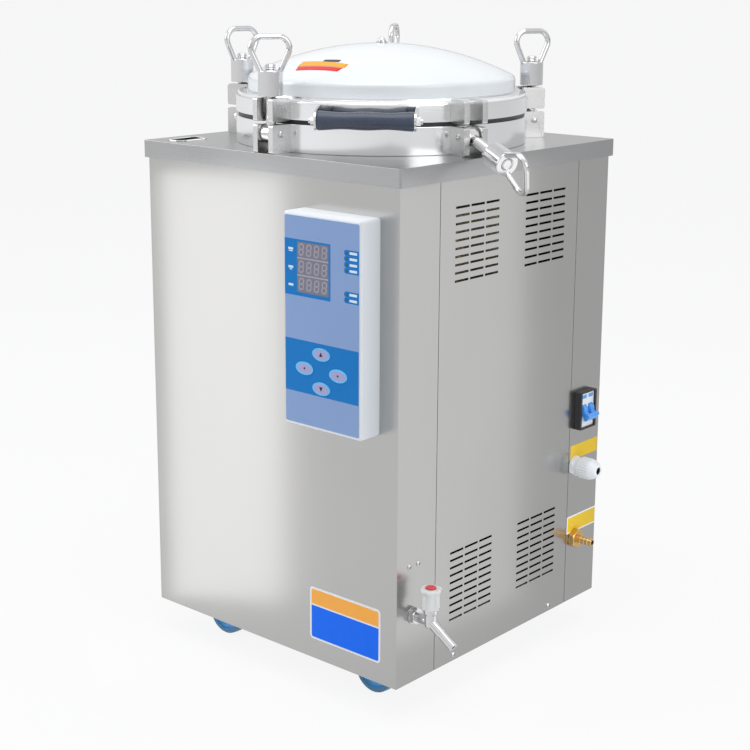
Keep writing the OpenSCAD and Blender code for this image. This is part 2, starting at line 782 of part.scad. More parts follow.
module tap_body() {
    color("gainsboro") tap_place() difference() {
        union() {
            hex_x(tap_nut_d, tap_nut_t);
            rod_x(tap_tail_d, tap_reach);
            translate([-tap_tail_l - sheet_t, 0, 0]) rod_x(tap_tail_d, tap_tail_l + sheet_t);
            translate([-sheet_t - tap_nut_t / 2, 0, 0]) hex_x(tap_nut_d, tap_nut_t / 2);
            translate([tap_reach, 0, -tap_barrel_d / 2]) cylinder(d = tap_barrel_d, h = tap_barrel_d / 2 + tap_neck_h);
            translate([tap_reach, 0, 0]) cylinder(d = tap_stem_d - 2 * fit_gap, h = tap_neck_h + knob_h / 2);
            translate([tap_reach, 0, 0]) rotate([0, 90 + spout_tilt, 0]) cylinder(d = spout_d, h = spout_l);
            translate([tap_reach, 0, 0]) rotate([0, 90 + spout_tilt, 0])
                cylinder(d = spout_d + spout_step, h = spout_l - spout_tip_l);
        }
        translate([-tap_tail_l - sheet_t - cut, 0, 0]) rod_x(tap_bore_d, tap_tail_l + tap_reach + sheet_t + cut);
        translate([tap_reach, 0, 0]) sphere(d = tap_bore_d + tap_bore_swell, $fn = 24);
        translate([tap_reach, 0, 0]) rotate([0, 90 + spout_tilt, 0]) cylinder(d = tap_bore_d, h = spout_l + cut);
    }
}

// Knob with flutes, open below over the tap's neck
module tap_knob() {
    color("white") tap_place() translate([tap_reach, 0, knob_low]) difference() {
        union() {
            cylinder(d = knob_d, h = knob_h);
            translate([0, 0, knob_h - knob_crown_h]) cylinder(d = knob_d + 2 * knob_crown_over, h = knob_crown_h, $fn = 6);
        }
        for (i = [0 : knob_flutes - 1]) rotate([0, 0, (i + 0.5) * 360 / knob_flutes])
            translate([knob_d / 2 + flute_d / 4, 0, -cut]) cylinder(d = flute_d, h = knob_h - knob_crown_h + cut, $fn = 32);
        translate([0, 0, -cut]) cylinder(d = tap_stem_d, h = knob_h / 2 + cut);
    }
}

module tap_cap() {
    color("red") tap_place() translate([tap_reach, 0, knob_low + knob_h]) button(cap_d, cap_h);
}

// Exhaust outlet with a hose tail
module brass_outlet() {
    color("goldenrod") translate([half_w, outlet_y, outlet_z]) difference() {
        union() {
            hex_x(outlet_hex_d, outlet_hex_t);
            translate([-sheet_t - outlet_tail_l, 0, 0]) rod_x(outlet_thread_d, outlet_tail_l + sheet_t);
            translate([-sheet_t - outlet_hex_t / 2, 0, 0]) hex_x(outlet_hex_d, outlet_hex_t / 2);
            rod_x(outlet_stem_d, outlet_hex_t + outlet_stem_l);
            for (i = [0 : 2]) translate([outlet_hex_t + outlet_stem_l + i * barb_l, 0, 0])
                rotate([0, 90, 0]) cylinder(d1 = outlet_stem_d + barb_rise, d2 = outlet_stem_d - barb_rise, h = barb_l, $fn = 48);
        }
        translate([-sheet_t - outlet_tail_l - cut, 0, 0])
            rod_x(outlet_bore_d, outlet_tail_l + sheet_t + outlet_hex_t + outlet_stem_l + 3 * barb_l + 2 * cut);
    }
}

module cable_gland() {
    color("white") translate([half_w, gland_y, gland_z]) difference() {
        union() {
            hex_x(gland_d, gland_base_t);
            rod_x(gland_d - gland_step, gland_base_t + gland_neck_l);
            translate([gland_base_t + gland_neck_l, 0, 0]) rod_x(gland_d, gland_cap_l);
            translate([gland_base_t + gland_neck_l + gland_cap_l, 0, 0]) rotate([0, 90, 0])
                cylinder(d1 = gland_d, d2 = gland_tip_d, h = gland_dome_l);
            translate([-sheet_t - gland_tail_l, 0, 0]) rod_x(gland_thread_d, gland_tail_l + sheet_t);
            translate([-sheet_t - gland_base_t, 0, 0]) hex_x(gland_nut_d, gland_base_t);
        }
        translate([-sheet_t - gland_tail_l - cut, 0, 0])
            rod_x(gland_bore_d, sheet_t + gland_tail_l + gland_base_t + gland_neck_l + gland_cap_l + gland_dome_l + 2 * cut);
    }
}

// Circuit breaker
module breaker_place() { translate([half_w, breaker_y, breaker_z]) children(); }

module breaker_frame() {
    color("black") breaker_place() rotate([90, 0, 90]) linear_extrude(height = bezel_t) difference() {
        rounded_rect(bezel_w, bezel_h, bezel_corner_r);
        square([breaker_w + 2 * seat_gap, breaker_h + 2 * seat_gap], center = true);
    }
}

module breaker_body() {
    pivot_in = toggle_pivot_x - half_w;
    color("white") breaker_place() difference() {
        translate([breaker_proud - breaker_deep, -breaker_w / 2, -breaker_h / 2]) cube([breaker_deep, breaker_w, breaker_h]);
        for (y = [-1, 1]) translate([pivot_in, y * toggle_pole_gap / 2, 0])
            rod_y(2 * toggle_hub_r + 2 * seat_gap, toggle_hub_w + 2 * seat_gap);
    }
}

module breaker_toggle() {
    color("dodgerblue") translate([toggle_pivot_x, breaker_y, breaker_z]) {
        for (y = [-1, 1]) translate([0, y * toggle_pole_gap / 2, 0]) {
            rod_y(2 * toggle_hub_r, toggle_hub_w);
            rotate([0, toggle_tilt, 0]) translate([0, -toggle_hub_w / 2, -toggle_bar_t / 2])
                cube([toggle_reach, toggle_hub_w, toggle_bar_t]);
        }
        rotate([0, toggle_tilt, 0]) translate([toggle_reach - toggle_bar_t, -toggle_bar_w / 2, -toggle_bar_h / 2])
            cube([toggle_bar_t, toggle_bar_w, toggle_bar_h]);
    }
}

// Control panel

module panel_place() { translate([panel_x, 0, panel_z]) children(); }

// Outer form of the housing, grown or shrunk alike on its rounded sides
module housing_form(w, h, deep, r) {
    intersection() {
        translate([0, -half_w, 0]) rotate([90, 0, 0]) linear_extrude(height = deep) rounded_rect(w, h, r);
        translate([0, -half_w, -h / 2]) linear_extrude(height = h) round_front(w, deep, r);
        translate([-w / 2, -half_w, 0]) rotate([90, 0, 90]) linear_extrude(height = w) rotate(-90) mirror([1, 0])
            round_side(h, deep, r);
    }
}

// Plan with rounded front corners: x across, y towards the viewer is negative
module round_front(w, deep, r) {
    translate([-w / 2, r - deep]) square([w, deep - r]);
    translate([r - w / 2, -deep]) square([w - 2 * r, deep]);
    for (x = [-1, 1]) translate([x * (w / 2 - r), r - deep]) circle(r);
}

// The same outline seen from the side
module round_side(h, deep, r) { round_front(h, deep, r); }

module window_2d(grow) {
    translate([window_centre_share[0] * overlay_w, window_centre_share[1] * overlay_h])
        square([window_size_share[0] * overlay_w + grow, window_size_share[1] * overlay_h + grow], center = true);
}

module keys_2d(grow) {
    for (place = key_place_shares) translate([place[0] * overlay_w, place[1] * overlay_h])
        polygon(ellipse_points(key_w / 2 + grow, key_h / 2 + grow));
}

module panel_housing() {
    color("white") difference() {
        panel_place() housing_form(panel_w, panel_h, panel_deep, panel_edge_r);
        panel_place() translate([panel_wall - panel_w / 2, panel_wall - half_w - panel_deep, panel_wall - panel_h / 2])
            cube([panel_w - 2 * panel_wall, panel_deep, panel_h - 2 * panel_wall]);
        panel_place() translate([0, panel_wall + cut - half_w - panel_deep, 0]) rotate([90, 0, 0])
            linear_extrude(height = panel_wall + 2 * cut) {
                window_2d(2 * seat_gap);
                keys_2d(key_gap);
            }
    }
}

module panel_overlay() {
    color("cornflowerblue") panel_place() translate([0, panel_front_y, 0]) rotate([90, 0, 0])
        linear_extrude(height = overlay_t) difference() {
            rounded_rect(overlay_w, overlay_h, panel_edge_r / 2);
            window_2d(2 * seat_gap);
            keys_2d(key_gap);
        }
}

module display_window() {
    board_y = panel_front_y + panel_wall + board_inset;
    color("dimgray") panel_place() translate([0, board_y, 0]) rotate([90, 0, 0])
        linear_extrude(height = board_inset + panel_wall + overlay_t) window_2d(0);
}

module control_board() {
    board_y = panel_front_y + panel_wall + board_inset;
    board_w = panel_w - 4 * board_post_d;
    board_h = panel_h - 4 * board_post_d;
    color("seagreen") panel_place() {
        translate([-board_w / 2, board_y, -board_h / 2]) cube([board_w, board_t, board_h]);
        for (x = [-1, 1], z = [-1, 1])
            translate([x * (board_w / 2 - board_post_d), board_y, z * (board_h / 2 - board_post_d)])
                rotate([90, 0, 0]) cylinder(d = board_post_d, h = board_inset);
    }
}

module key(i) {
    place = key_place_shares[i];
    back = board_inset - key_travel - seat_gap;
    color("lightsteelblue") translate([panel_x + place[0] * overlay_w, panel_front_y, panel_z + place[1] * overlay_h])
        rotate([90, 0, 0]) {
            translate([0, 0, -panel_wall]) linear_extrude(height = panel_wall + overlay_t + key_proud)
                polygon(ellipse_points(key_w / 2, key_h / 2));
            translate([0, 0, -panel_wall - back]) cylinder(d = key_plunger_d, h = back);
        }
}

module key_up() { key(0); }
module key_down() { key(1); }
module key_left() { key(2); }
module key_right() { key(3); }

// Lid

module lid_flange() {
    color("silver") rotate_extrude($fn = 128) difference() {
        union() {
            translate([chamber_r, lid_bottom_z]) square([flange_r - chamber_r, lid_flange_h - lid_edge_r]);
            translate([chamber_r, lid_bottom_z]) square([flange_r - lid_edge_r - chamber_r, lid_flange_h]);
            translate([flange_r - lid_edge_r, lid_top_z - lid_edge_r]) circle(r = lid_edge_r);
            translate([chamber_r, lid_top_z - cut]) square([cover_r + lid_step_h - chamber_r, lid_step_h + cut]);
        }
        translate([chamber_r - cut, head_seat_z]) square([head_seat_w + cut, lid_flange_h + lid_step_h]);
    }
}

// Section of a dome cut from a circle: radius of its rim, rise and height of the rim
module dome_2d(rim_r, rise, rim_z) {
    ball_r = (rim_r * rim_r + rise * rise) / (2 * rise);
    intersection() {
        translate([0, rim_z + rise - ball_r]) circle(r = ball_r, $fn = 256);
        translate([0, rim_z]) square([rim_r, rise]);
    }
}

module lid_head() {
    rim_r = chamber_r + head_seat_w;
    color("gainsboro") rotate_extrude($fn = 96) {
        difference() {
            dome_2d(rim_r, head_rise, head_seat_z + head_t);
            translate([0, -head_t]) dome_2d(rim_r, head_rise, head_seat_z + head_t);
        }
        translate([rim_r - 2 * head_t, head_seat_z]) square([2 * head_t, head_t]);
    }
}

// Section of the cover, filled: dome, rounded edge and skirt
module cover_2d(inset) {
    r = cover_r - inset;
    edge = cover_edge_r - inset;
    rim_z = cover_bottom_z + cover_skirt_h;
    ball_r = (cover_r * cover_r + cover_rise * cover_rise) / (2 * cover_rise);
    ball_z = rim_z + cover_rise - ball_r;
    edge_x = cover_r - cover_edge_r;
    edge_z = ball_z + sqrt(pow(ball_r - cover_edge_r, 2) - edge_x * edge_x);
    touch_x = edge_x * (ball_r - inset) / (ball_r - cover_edge_r);
    intersection() {
        translate([0, ball_z]) circle(r = ball_r - inset, $fn = 256);
        translate([0, cover_bottom_z - cut * sign(inset)]) square([touch_x, cover_top_z]);
    }
    translate([edge_x, edge_z]) circle(r = edge);
    translate([0, cover_bottom_z - cut * sign(inset)]) square([r, edge_z - cover_bottom_z + cut * sign(inset)]);
}

module lid_cover() {
    color("white") rotate_extrude($fn = 128) difference() {
        cover_2d(0);
        cover_2d(cover_t);
        translate([0, cover_bottom_z]) square([stud_d / 2 + play, cover_top_z]);
    }
}

module lid_gasket() {
    color("black") rotate_extrude($fn = 128)
        translate([gasket_in_r, flange_top_z + gasket_gap]) square([gasket_out_r - gasket_in_r, flange_gap - gasket_gap]);
}

module lid_lugs() {
    color("silver") difference() {
        union() {
            for (a = clamp_azimuths) rotate([0, 0, a]) translate([clamp_r, 0, lid_lug_low_z])
                lug(lid_lug_top_z - lid_lug_low_z);
            difference() {
                rotate([90, 0, 90]) linear_extrude(height = hinge_arm_w, center = true) {
                    translate([flange_r - flange_band_t, lid_bottom_z])
                        square([hinge_y - flange_r + flange_band_t, hinge_z + hinge_eye_r - lid_bottom_z]);
                    translate([hinge_y, hinge_z]) circle(r = hinge_eye_r);
                }
                translate([0, hinge_y, hinge_z]) rod_x_centred(pivot_d, cab_w);
            }
        }
        translate([0, 0, lid_lug_low_z - cut]) cylinder(r = flange_r, h = 2 * lid_flange_h, $fn = 128);
    }
}

module handle_place() { rotate([0, 0, handle_azimuth]) children(); }

// Ear of the handle: from the flange out to the handle's rod
module ear_2d() {
    polygon([
        [flange_r * cos(strap_span / 2) - ear_r, lid_bottom_z + ear_low], [hgrip_r, deck_top_z + hgrip_z - ear_r],
        [hgrip_r, deck_top_z + hgrip_z + ear_r], [flange_r * cos(strap_span / 2) + ear_r, strap_low_z + strap_h],
        [flange_r * cos(strap_span / 2) - ear_r, strap_low_z + strap_h]
    ]);
    translate([hgrip_r, deck_top_z + hgrip_z]) circle(r = ear_r);
}

module handle_bracket() {
    ear_y = hgrip_l / 2 + seat_gap;
    rod_l = 2 * (ear_y + ear_t + handle_nut_t);
    color("gainsboro") handle_place() {
        difference() {
            union() {
                for (side = [-1, 1]) translate([0, side * (ear_y + ear_t / 2), 0])
                    rotate([90, 0, 0]) linear_extrude(height = ear_t, center = true) ear_2d();
                rotate([0, 0, -strap_span / 2]) rotate_extrude(angle = strap_span, $fn = 128)
                    translate([flange_r, strap_low_z]) square([ear_t, strap_h]);
            }
            rotate([0, 0, -handle_azimuth]) cylinder(r = flange_r, h = 2 * lid_top_z, $fn = 128);
            translate([hgrip_r, 0, deck_top_z + hgrip_z]) rod_y(handle_rod_d + 2 * fit_gap, rod_l);
        }
        translate([hgrip_r, 0, deck_top_z + hgrip_z]) rod_y(handle_rod_d, rod_l);
        for (side = [-1, 1])
            translate([hgrip_r, side * (ear_y + ear_t + handle_nut_t / 3), deck_top_z + hgrip_z]) rotate([90, 0, 0])
                cylinder(d = handle_nut_d, h = 2 * handle_nut_t / 3, center = true, $fn = 6);
    }
}

// Grip that narrows between its ends and its middle
module handle_grip() {
    steps = 28;
    color("black") handle_place() translate([hgrip_r, 0, deck_top_z + hgrip_z]) rotate([90, 0, 0])
        rotate_extrude() polygon(concat(
            [[handle_rod_d / 2 + fit_gap, -hgrip_l / 2]],
            [for (i = [0 : steps]) [
                hgrip_d / 2 - hgrip_waist * (1 - cos(720 * i / steps)) / 4 - (hgrip_waist / 4) * sin(180 * i / steps),
                (i / steps - 0.5) * hgrip_l
            ]],
            [[handle_rod_d / 2 + fit_gap, hgrip_l / 2]]
        ));
}

module cover_nut() {
    head_top = head_seat_z + head_t + head_rise;
    color("gainsboro") {
        translate([0, 0, head_top]) cylinder(d = stud_d, h = cover_top_z - head_top);
        translate([0, 0, cover_top_z]) cylinder(d = cover_washer_d, h = cover_washer_t);
        translate([0, 0, cover_top_z]) rotate_extrude($fn = 32) intersection() {
            square(2 * acorn_d);
            union() {
                square([acorn_d / 2, acorn_h]);
                translate([0, acorn_h]) circle(d = acorn_d, $fn = 32);
            }
        }
    }
}

// Clamps

// Local frame of one clamp: X outwards, Y along the pivot, Z along the bolt
module clamp_place(i) {
    rotate([0, 0, clamp_azimuths[i]]) translate([clamp_r, 0, pivot_z])
        rotate([0, clamp_open_angles[i], 0]) children();
}

module clamp_bolt(i) {
    color("gainsboro") clamp_place(i) difference() {
        union() {
            rotate([90, 0, 0]) rotate_extrude() intersection() {
                rounded_rect(eye_d, eye_w, eye_edge_r);
                translate([0, -eye_w / 2]) square([eye_d, eye_w]);
            }
            cylinder(d = bolt_d, h = bolt_top - bolt_chamfer);
            translate([0, 0, bolt_top - bolt_chamfer])
                cylinder(d1 = bolt_d, d2 = bolt_d - 2 * bolt_chamfer, h = bolt_chamfer);
        }
        rod_y(pivot_d, 2 * eye_w);
    }
}

// One side of a nut's ring: the bend with the leg that runs down into the nut.
// The straight bars start a little inside the bends and are a hair thinner.
module ring_side() {
    translate([ring_corner_x, 0, ring_corner_z]) rotate([90, 0, 0]) rotate([0, 0, -ring_lean]) {
        rotate_extrude(angle = 90 + ring_lean) translate([ring_corner_r, 0]) circle(d = ring_bar_d, $fn = 32);
        translate([ring_corner_r, play, 0]) rotate([90, 0, 0])
            cylinder(d = ring_bar_d - ring_bar_step, h = ring_leg_l + play, $fn = 32);
    }
}

module ring() {
    ring_side();
    mirror([1, 0, 0]) ring_side();
    translate([0, 0, ring_corner_z + ring_corner_r]) rotate([0, 90, 0])
        cylinder(d = ring_bar_d - ring_bar_step, h = 2 * (ring_corner_x + play), center = true, $fn = 32);
}

module ring_nut(i) {
    color("silver") clamp_place(i) translate([0, 0, nut_low + nut_backoffs[i]]) rotate([0, 0, ring_turns[i]])
        difference() {
        union() {
            translate([0, 0, nut_chamfer]) cylinder(d = nut_d, h = nut_h - 2 * nut_chamfer);
            cylinder(d1 = nut_d - 2 * nut_chamfer, d2 = nut_d, h = nut_chamfer);
            translate([0, 0, nut_h - nut_chamfer]) cylinder(d1 = nut_d, d2 = nut_d - 2 * nut_chamfer, h = nut_chamfer);
            ring();
        }
        translate([0, 0, -cut]) cylinder(d = bolt_d + 2 * fit_gap, h = nut_h + 2 * cut);
    }
}

module clamp_bolt_1() { clamp_bolt(0); }
module clamp_bolt_2() { clamp_bolt(1); }
module clamp_bolt_3() { clamp_bolt(2); }
module clamp_bolt_4() { clamp_bolt(3); }
module clamp_bolt_5() { clamp_bolt(4); }
module ring_nut_1() { ring_nut(0); }
module ring_nut_2() { ring_nut(1); }
module ring_nut_3() { ring_nut(2); }
module ring_nut_4() { ring_nut(3); }
module ring_nut_5() { ring_nut(4); }

// Casters

module caster_place(i) {
    translate([caster_signs[i][0] * caster_offset, caster_signs[i][1] * caster_offset, 0]) children();
}

module caster_plates() {
    pin_low = crown_top_z - crown_t - 2 * seat_gap;
    color("silver") for (i = [0 : 3]) caster_place(i) {
        linear_extrude(height = caster_plate_t) rounded_rect(caster_plate_w, caster_plate_w, caster_corner_r);
        translate([0, 0, -race_h]) cylinder(d = race_d, h = race_h);
        translate([0, 0, pin_low]) cylinder(d = kingpin_d, h = -pin_low);
        translate([0, 0, pin_low - kingpin_head_t]) cylinder(d = kingpin_head_d, h = kingpin_head_t);
    }
}

// Side plate of a fork, from the crown down to the trailing axle
module fork_2d() {
    polygon([
        [-crown_d / 2, crown_top_z], [crown_d / 2, crown_top_z], [crown_d / 2, crown_top_z - crown_t],
        [fork_end_r - caster_trail, axle_z], [-fork_end_r - caster_trail, axle_z]
    ]);
    translate([-caster_trail, axle_z]) circle(r = fork_end_r);
}

module caster_fork(i) {
    leg_y = wheel_w / 2 + fork_gap + fork_t / 2;
    color("gainsboro") caster_place(i) rotate([0, 0, caster_turns[i]]) {
        difference() {
            union() {
                for (side = [-1, 1]) translate([0, side * leg_y, 0]) rotate([90, 0, 0])
                    linear_extrude(height = fork_t, center = true) fork_2d();
                translate([-crown_d / 2, -leg_y, crown_top_z - crown_t]) cube([crown_d, 2 * leg_y, crown_t]);
            }
            translate([0, 0, crown_top_z - 2 * crown_t]) cylinder(d = kingpin_d + 2 * fit_gap, h = 3 * crown_t);
            translate([-caster_trail, 0, axle_z]) rod_y(axle_d, 4 * wheel_w);
        }
        translate([-caster_trail, 0, axle_z]) {
            rod_y(axle_d, 2 * (leg_y + fork_t / 2 + axle_head_t));
            for (side = [-1, 1]) translate([0, side * (leg_y + fork_t / 2 + axle_head_t / 2), 0]) rotate([90, 0, 0])
                cylinder(d = axle_head_d, h = axle_head_t, center = true, $fn = 6);
        }
    }
}

// Wheel section: hub, thin web and a slightly crowned tread
module wheel_2d() {
    bore_r = axle_d / 2 + fit_gap;
    translate([bore_r, -wheel_w / 2]) square([hub_d / 2 - bore_r, wheel_w]);
    translate([hub_d / 2 - cut, -wheel_w / 2 + web_inset])
        square([wheel_d / 2 - hub_d / 2 - tread_crown, wheel_w - 2 * web_inset]);
    translate([wheel_d / 2 - 2 * tread_crown - web_inset, -wheel_w / 2 + tread_crown])
        square([2 * tread_crown + web_inset, wheel_w - 2 * tread_crown]);
    translate([wheel_d / 2 - 2 * tread_crown - web_inset, -wheel_w / 2]) square([tread_crown + web_inset, wheel_w]);
    for (side = [-1, 1]) translate([wheel_d / 2 - tread_crown, side * (wheel_w / 2 - tread_crown)])
        circle(r = tread_crown);
}

module caster_wheel(i) {
    color("royalblue") caster_place(i) rotate([0, 0, caster_turns[i]])
        translate([-caster_trail, 0, axle_z]) rotate([90, 0, 0]) rotate_extrude($fn = 96) wheel_2d();
}

module caster_fork_1() { caster_fork(0); }
module caster_fork_2() { caster_fork(1); }
module caster_fork_3() { caster_fork(2); }
module caster_fork_4() { caster_fork(3); }
module caster_wheel_1() { caster_wheel(0); }
module caster_wheel_2() { caster_wheel(1); }
module caster_wheel_3() { caster_wheel(2); }
module caster_wheel_4() { caster_wheel(3); }

base_tray();
front_panel();
rear_wrap();
side_access_panel();
panel_screws();
deck();
deck_grip();
caster_plates();
vessel_shell();
vessel_flange();
vessel_lugs();
pivot_pins();
insulation_jacket();
heater_element();
steam_plate();
basket();
drain_pipe();
exhaust_line();
tap_body();
tap_knob();
tap_cap();
brass_outlet();
cable_gland();
breaker_frame();
breaker_body();
breaker_toggle();
panel_housing();
panel_overlay();
display_window();
control_board();
key_up();
key_down();
key_left();
key_right();
lid_flange();
lid_head();
lid_cover();
lid_gasket();
lid_lugs();
handle_bracket();
handle_grip();
cover_nut();
clamp_bolt_1();
clamp_bolt_2();
clamp_bolt_3();
clamp_bolt_4();
clamp_bolt_5();
ring_nut_1();
ring_nut_2();
ring_nut_3();
ring_nut_4();
ring_nut_5();
caster_fork_1();
caster_fork_2();
caster_fork_3();
caster_fork_4();
caster_wheel_1();
caster_wheel_2();
caster_wheel_3();
caster_wheel_4();
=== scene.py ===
"""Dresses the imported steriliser: sheet metal, clamps, lid, panel, side fittings, casters and stage."""

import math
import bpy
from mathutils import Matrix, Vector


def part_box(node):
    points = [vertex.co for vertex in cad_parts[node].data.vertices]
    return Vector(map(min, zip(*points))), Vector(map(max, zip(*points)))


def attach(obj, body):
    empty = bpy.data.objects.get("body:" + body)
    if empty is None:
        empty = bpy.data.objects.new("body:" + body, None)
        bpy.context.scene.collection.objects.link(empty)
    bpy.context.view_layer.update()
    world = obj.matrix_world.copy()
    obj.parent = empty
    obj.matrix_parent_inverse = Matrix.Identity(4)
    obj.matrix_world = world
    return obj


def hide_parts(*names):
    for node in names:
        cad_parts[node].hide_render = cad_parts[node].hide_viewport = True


bl_info = {
    "name": "Top-Loading Steriliser",
    "version": (1, 0, 0),
    "blender": (4, 5, 0),
    "location": "3D View > Sidebar > Steriliser",
    "description": "Dresses the packed steriliser with its finishes, threads, prints, stickers and stage",
    "category": "Object",
}

import bmesh
import bpy
import numpy as np
from bpy.props import FloatProperty, FloatVectorProperty
from mathutils import Matrix

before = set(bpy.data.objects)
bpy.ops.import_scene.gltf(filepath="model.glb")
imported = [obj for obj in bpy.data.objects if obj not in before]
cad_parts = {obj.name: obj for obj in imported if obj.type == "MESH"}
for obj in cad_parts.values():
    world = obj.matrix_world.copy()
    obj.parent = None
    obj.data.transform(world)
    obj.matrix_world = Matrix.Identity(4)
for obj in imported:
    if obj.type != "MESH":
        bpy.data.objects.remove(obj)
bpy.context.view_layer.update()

MM = 0.001

# Points closer than WELD metres are one, faces that turn less than FLAT degrees are one, and edges that turn
# more than CRISP degrees stay sharp
WELD = 2e-6
FLAT = 0.3
CRISP = 30

# Values of a finish's noise between which its tone and its roughness go from least to most
DIM = 0.3
LIT = 0.7

# Places that the CAD fixes, in millimetres
CAB_FRONT = -260.0
CAB_SIDE = 260.0
PIVOT_Z = 754.0
CLAMP_R = 248.0
CLAMP_AZIMUTHS = (270, 342, 54, 126, 198)
CLAMP_TILTS = (0, 108, 0, 0, 0)
RING_TURNS = (-30, 15, 13, -6, 63)
NUT_BACKOFFS = (0, 9, 0, 0, 0)
NUT_LOW = 54.8
NUT_H = 37.0
NUT_R = 18.5
BOLT_TOP = 100.8
BOLT_R = 8.0
EYE_R = 14.0
EYE_W = 21.4
PIN_R = 4.0
HANDLE_AZIMUTH = 306
GRIP_R = 264.0
GRIP_Z = 780.0
GRIP_L = 139.0
GRIP_D = 28.0
ROD_R = 4.0
OVERLAY_X = 149.5
OVERLAY_Z = 496.0
OVERLAY_W = 143.0
OVERLAY_H = 306.0
OVERLAY_Y = -300.8
KEY_Y = -301.8
KEY_PLACES = {"up": (0.0, -42.8), "down": (0.0, -93.6), "left": (-32.9, -68.2), "right": (32.9, -68.7)}
KEY_W = 34.5
KEY_H = 19.5
WINDOW_X = -16.4
WINDOW_Z = 80.2
WINDOW_W = 61.5
WINDOW_H = 75.0
WHEEL_R = 37.5
WHEEL_W = 28.0
AXLE_Z = -64.5
CASTER_SIGNS = ((-1, -1), (1, -1), (-1, 1), (1, 1))
WHEEL_X = 165.0
WHEEL_Y = 190.0
DOME_R = 210.5
DOME_RISE = 50.0
DOME_RIM_Z = 827.5
TAP_Y = -222.0
TAP_Z = 60.0
TAP_REACH = 33.0
SPOUT_TILT = 33
OUTLET_Y = 197.0
OUTLET_Z = 64.0
GLAND_Y = 192.0
GLAND_Z = 192.0
TOGGLE_TILT = 34
TOGGLE_PIVOT = (263.0, 211.0, 286.0)
POLE_SPAN = 9.0
SCREW_PLACES = ((-232.0, 139.0), (-212.0, 139.0), (-124.8, -36.0), (128.8, -36.0))

# How far the panel's prints, its caption bars and the labels stand out, in millimetres
PRINT_H = 0.07
CAPTION_H = 0.05
LABEL_H = 0.15

# Turns that lay a flat shape on the front face and on the side face
FRONTWAYS = np.array([[1, 0, 0], [0, 0, -1], [0, 1, 0]], float)
SIDEWAYS = np.array([[0, 0, 1], [1, 0, 0], [0, 1, 0]], float)

# The camera that was fitted to the photograph's cabinet, in metres and radians
ROLL = 0.0051
AIM_ACROSS = -0.0085
AIM_Z = 0.4138
SHIFT_UP = -0.06

# Lamps: name, place, size up and across, watts, height they aim at on the cabinet's axis, spread in degrees
LAMPS = (
    ("Window Left", (-2.6, -2.6, 2.2), (2.4, 2.4), 48, 0.45, 180),
    ("Soft Top", (0.4, -0.4, 3.4), (2.6, 2.6), 48, 0.45, 180),
    ("Fill Right", (3.4, -0.6, 1.6), (1.6, 2.2), 19, 0.45, 180),
    ("Strip Front", (-0.26, -0.42, 0.28), (0.76, 0.21), 0.2, 0.28, 120),
    ("Strip Side", (0.42, 0.03, 0.3), (0.78, 0.4), 0.45, 0.3, 120),
)

# Floor: half its width, its paint, how much of it is plain white, and its white in metal at the back
FLOOR_REACH = 60
FLOOR_PAINT = 0.86
FLOOR_SHARE = 0.88
FLOOR_BACK = (0.64, 0.77, 0)
FLOOR_BACK_WHITE = 0.71

# World: the greys that metal shows, from straight down to straight up, and its light on everything else
SKY = ((0.0, 0.5), (0.44, 0.62), (0.5, 0.34), (0.57, 0.82), (0.8, 1.0), (1.0, 0.7))
SKY_LIGHT = (0.8, 0.82, 0.85, 1)
SKY_POWER = 0.55


# Shapes


def axes(along, across=(0.0, 0.0, 1.0)):
    """Columns of a right-handed set: the first leans towards across, the third is along."""
    third = np.asarray(along, float) / np.linalg.norm(along)
    first = np.asarray(across, float) - third * np.dot(across, third)
    if np.linalg.norm(first) < 1e-6:
        first = np.cross(third, (1.0, 0.0, 0.0))
    first = first / np.linalg.norm(first)
    return np.stack([first, np.cross(third, first), third], 1)


def circle(count):
    """Angles of that many even steps round a circle."""
    return np.linspace(0, 2 * math.pi, count, endpoint=False)


def spin(degrees):
    """Turn by an angle a about the third axis: rows (cos a, -sin a, 0), (sin a, cos a, 0), (0, 0, 1)."""
    a = math.radians(degrees)
    return np.array([[math.cos(a), -math.sin(a), 0], [math.sin(a), math.cos(a), 0], [0, 0, 1]])


def placed(surface, start=(0.0, 0.0, 0.0), turn=np.eye(3)):
    """Surface with each point p moved to start + turn p."""
    points, faces = surface
    return points @ np.asarray(turn).T + np.asarray(start, float), faces


def grid(points, closed=(False, False)):
    """Quads over points in rows and columns; a closed side joins its last line to its first."""
    rows, cols = points.shape[:2]
    down = np.arange(rows if closed[0] else rows - 1)[:, None]
    over = np.arange(cols if closed[1] else cols - 1)[None, :]
    corners = [(down, over), (down, over + 1), (down + 1, over + 1), (down + 1, over)]
    faces = np.stack([(r % rows) * cols + c % cols for r, c in corners], -1)
    return points.reshape(-1, 3), faces.reshape(-1, 4)


def turned(profile, spokes=96, closed=False, radius=None):
    """Turned surface: (r cos t, r sin t, h) from the profile's (r, h), with r changed by radius(r, t, h)."""
    profile = np.asarray(profile, float)
    t = circle(spokes)[None, :]
    r, h = profile[:, :1] + 0 * t, profile[:, 1:] + 0 * t
    if radius is not None:
        r = radius(r, t, h)
    return grid(np.stack([r * np.cos(t), r * np.sin(t), h], -1), (closed, True))


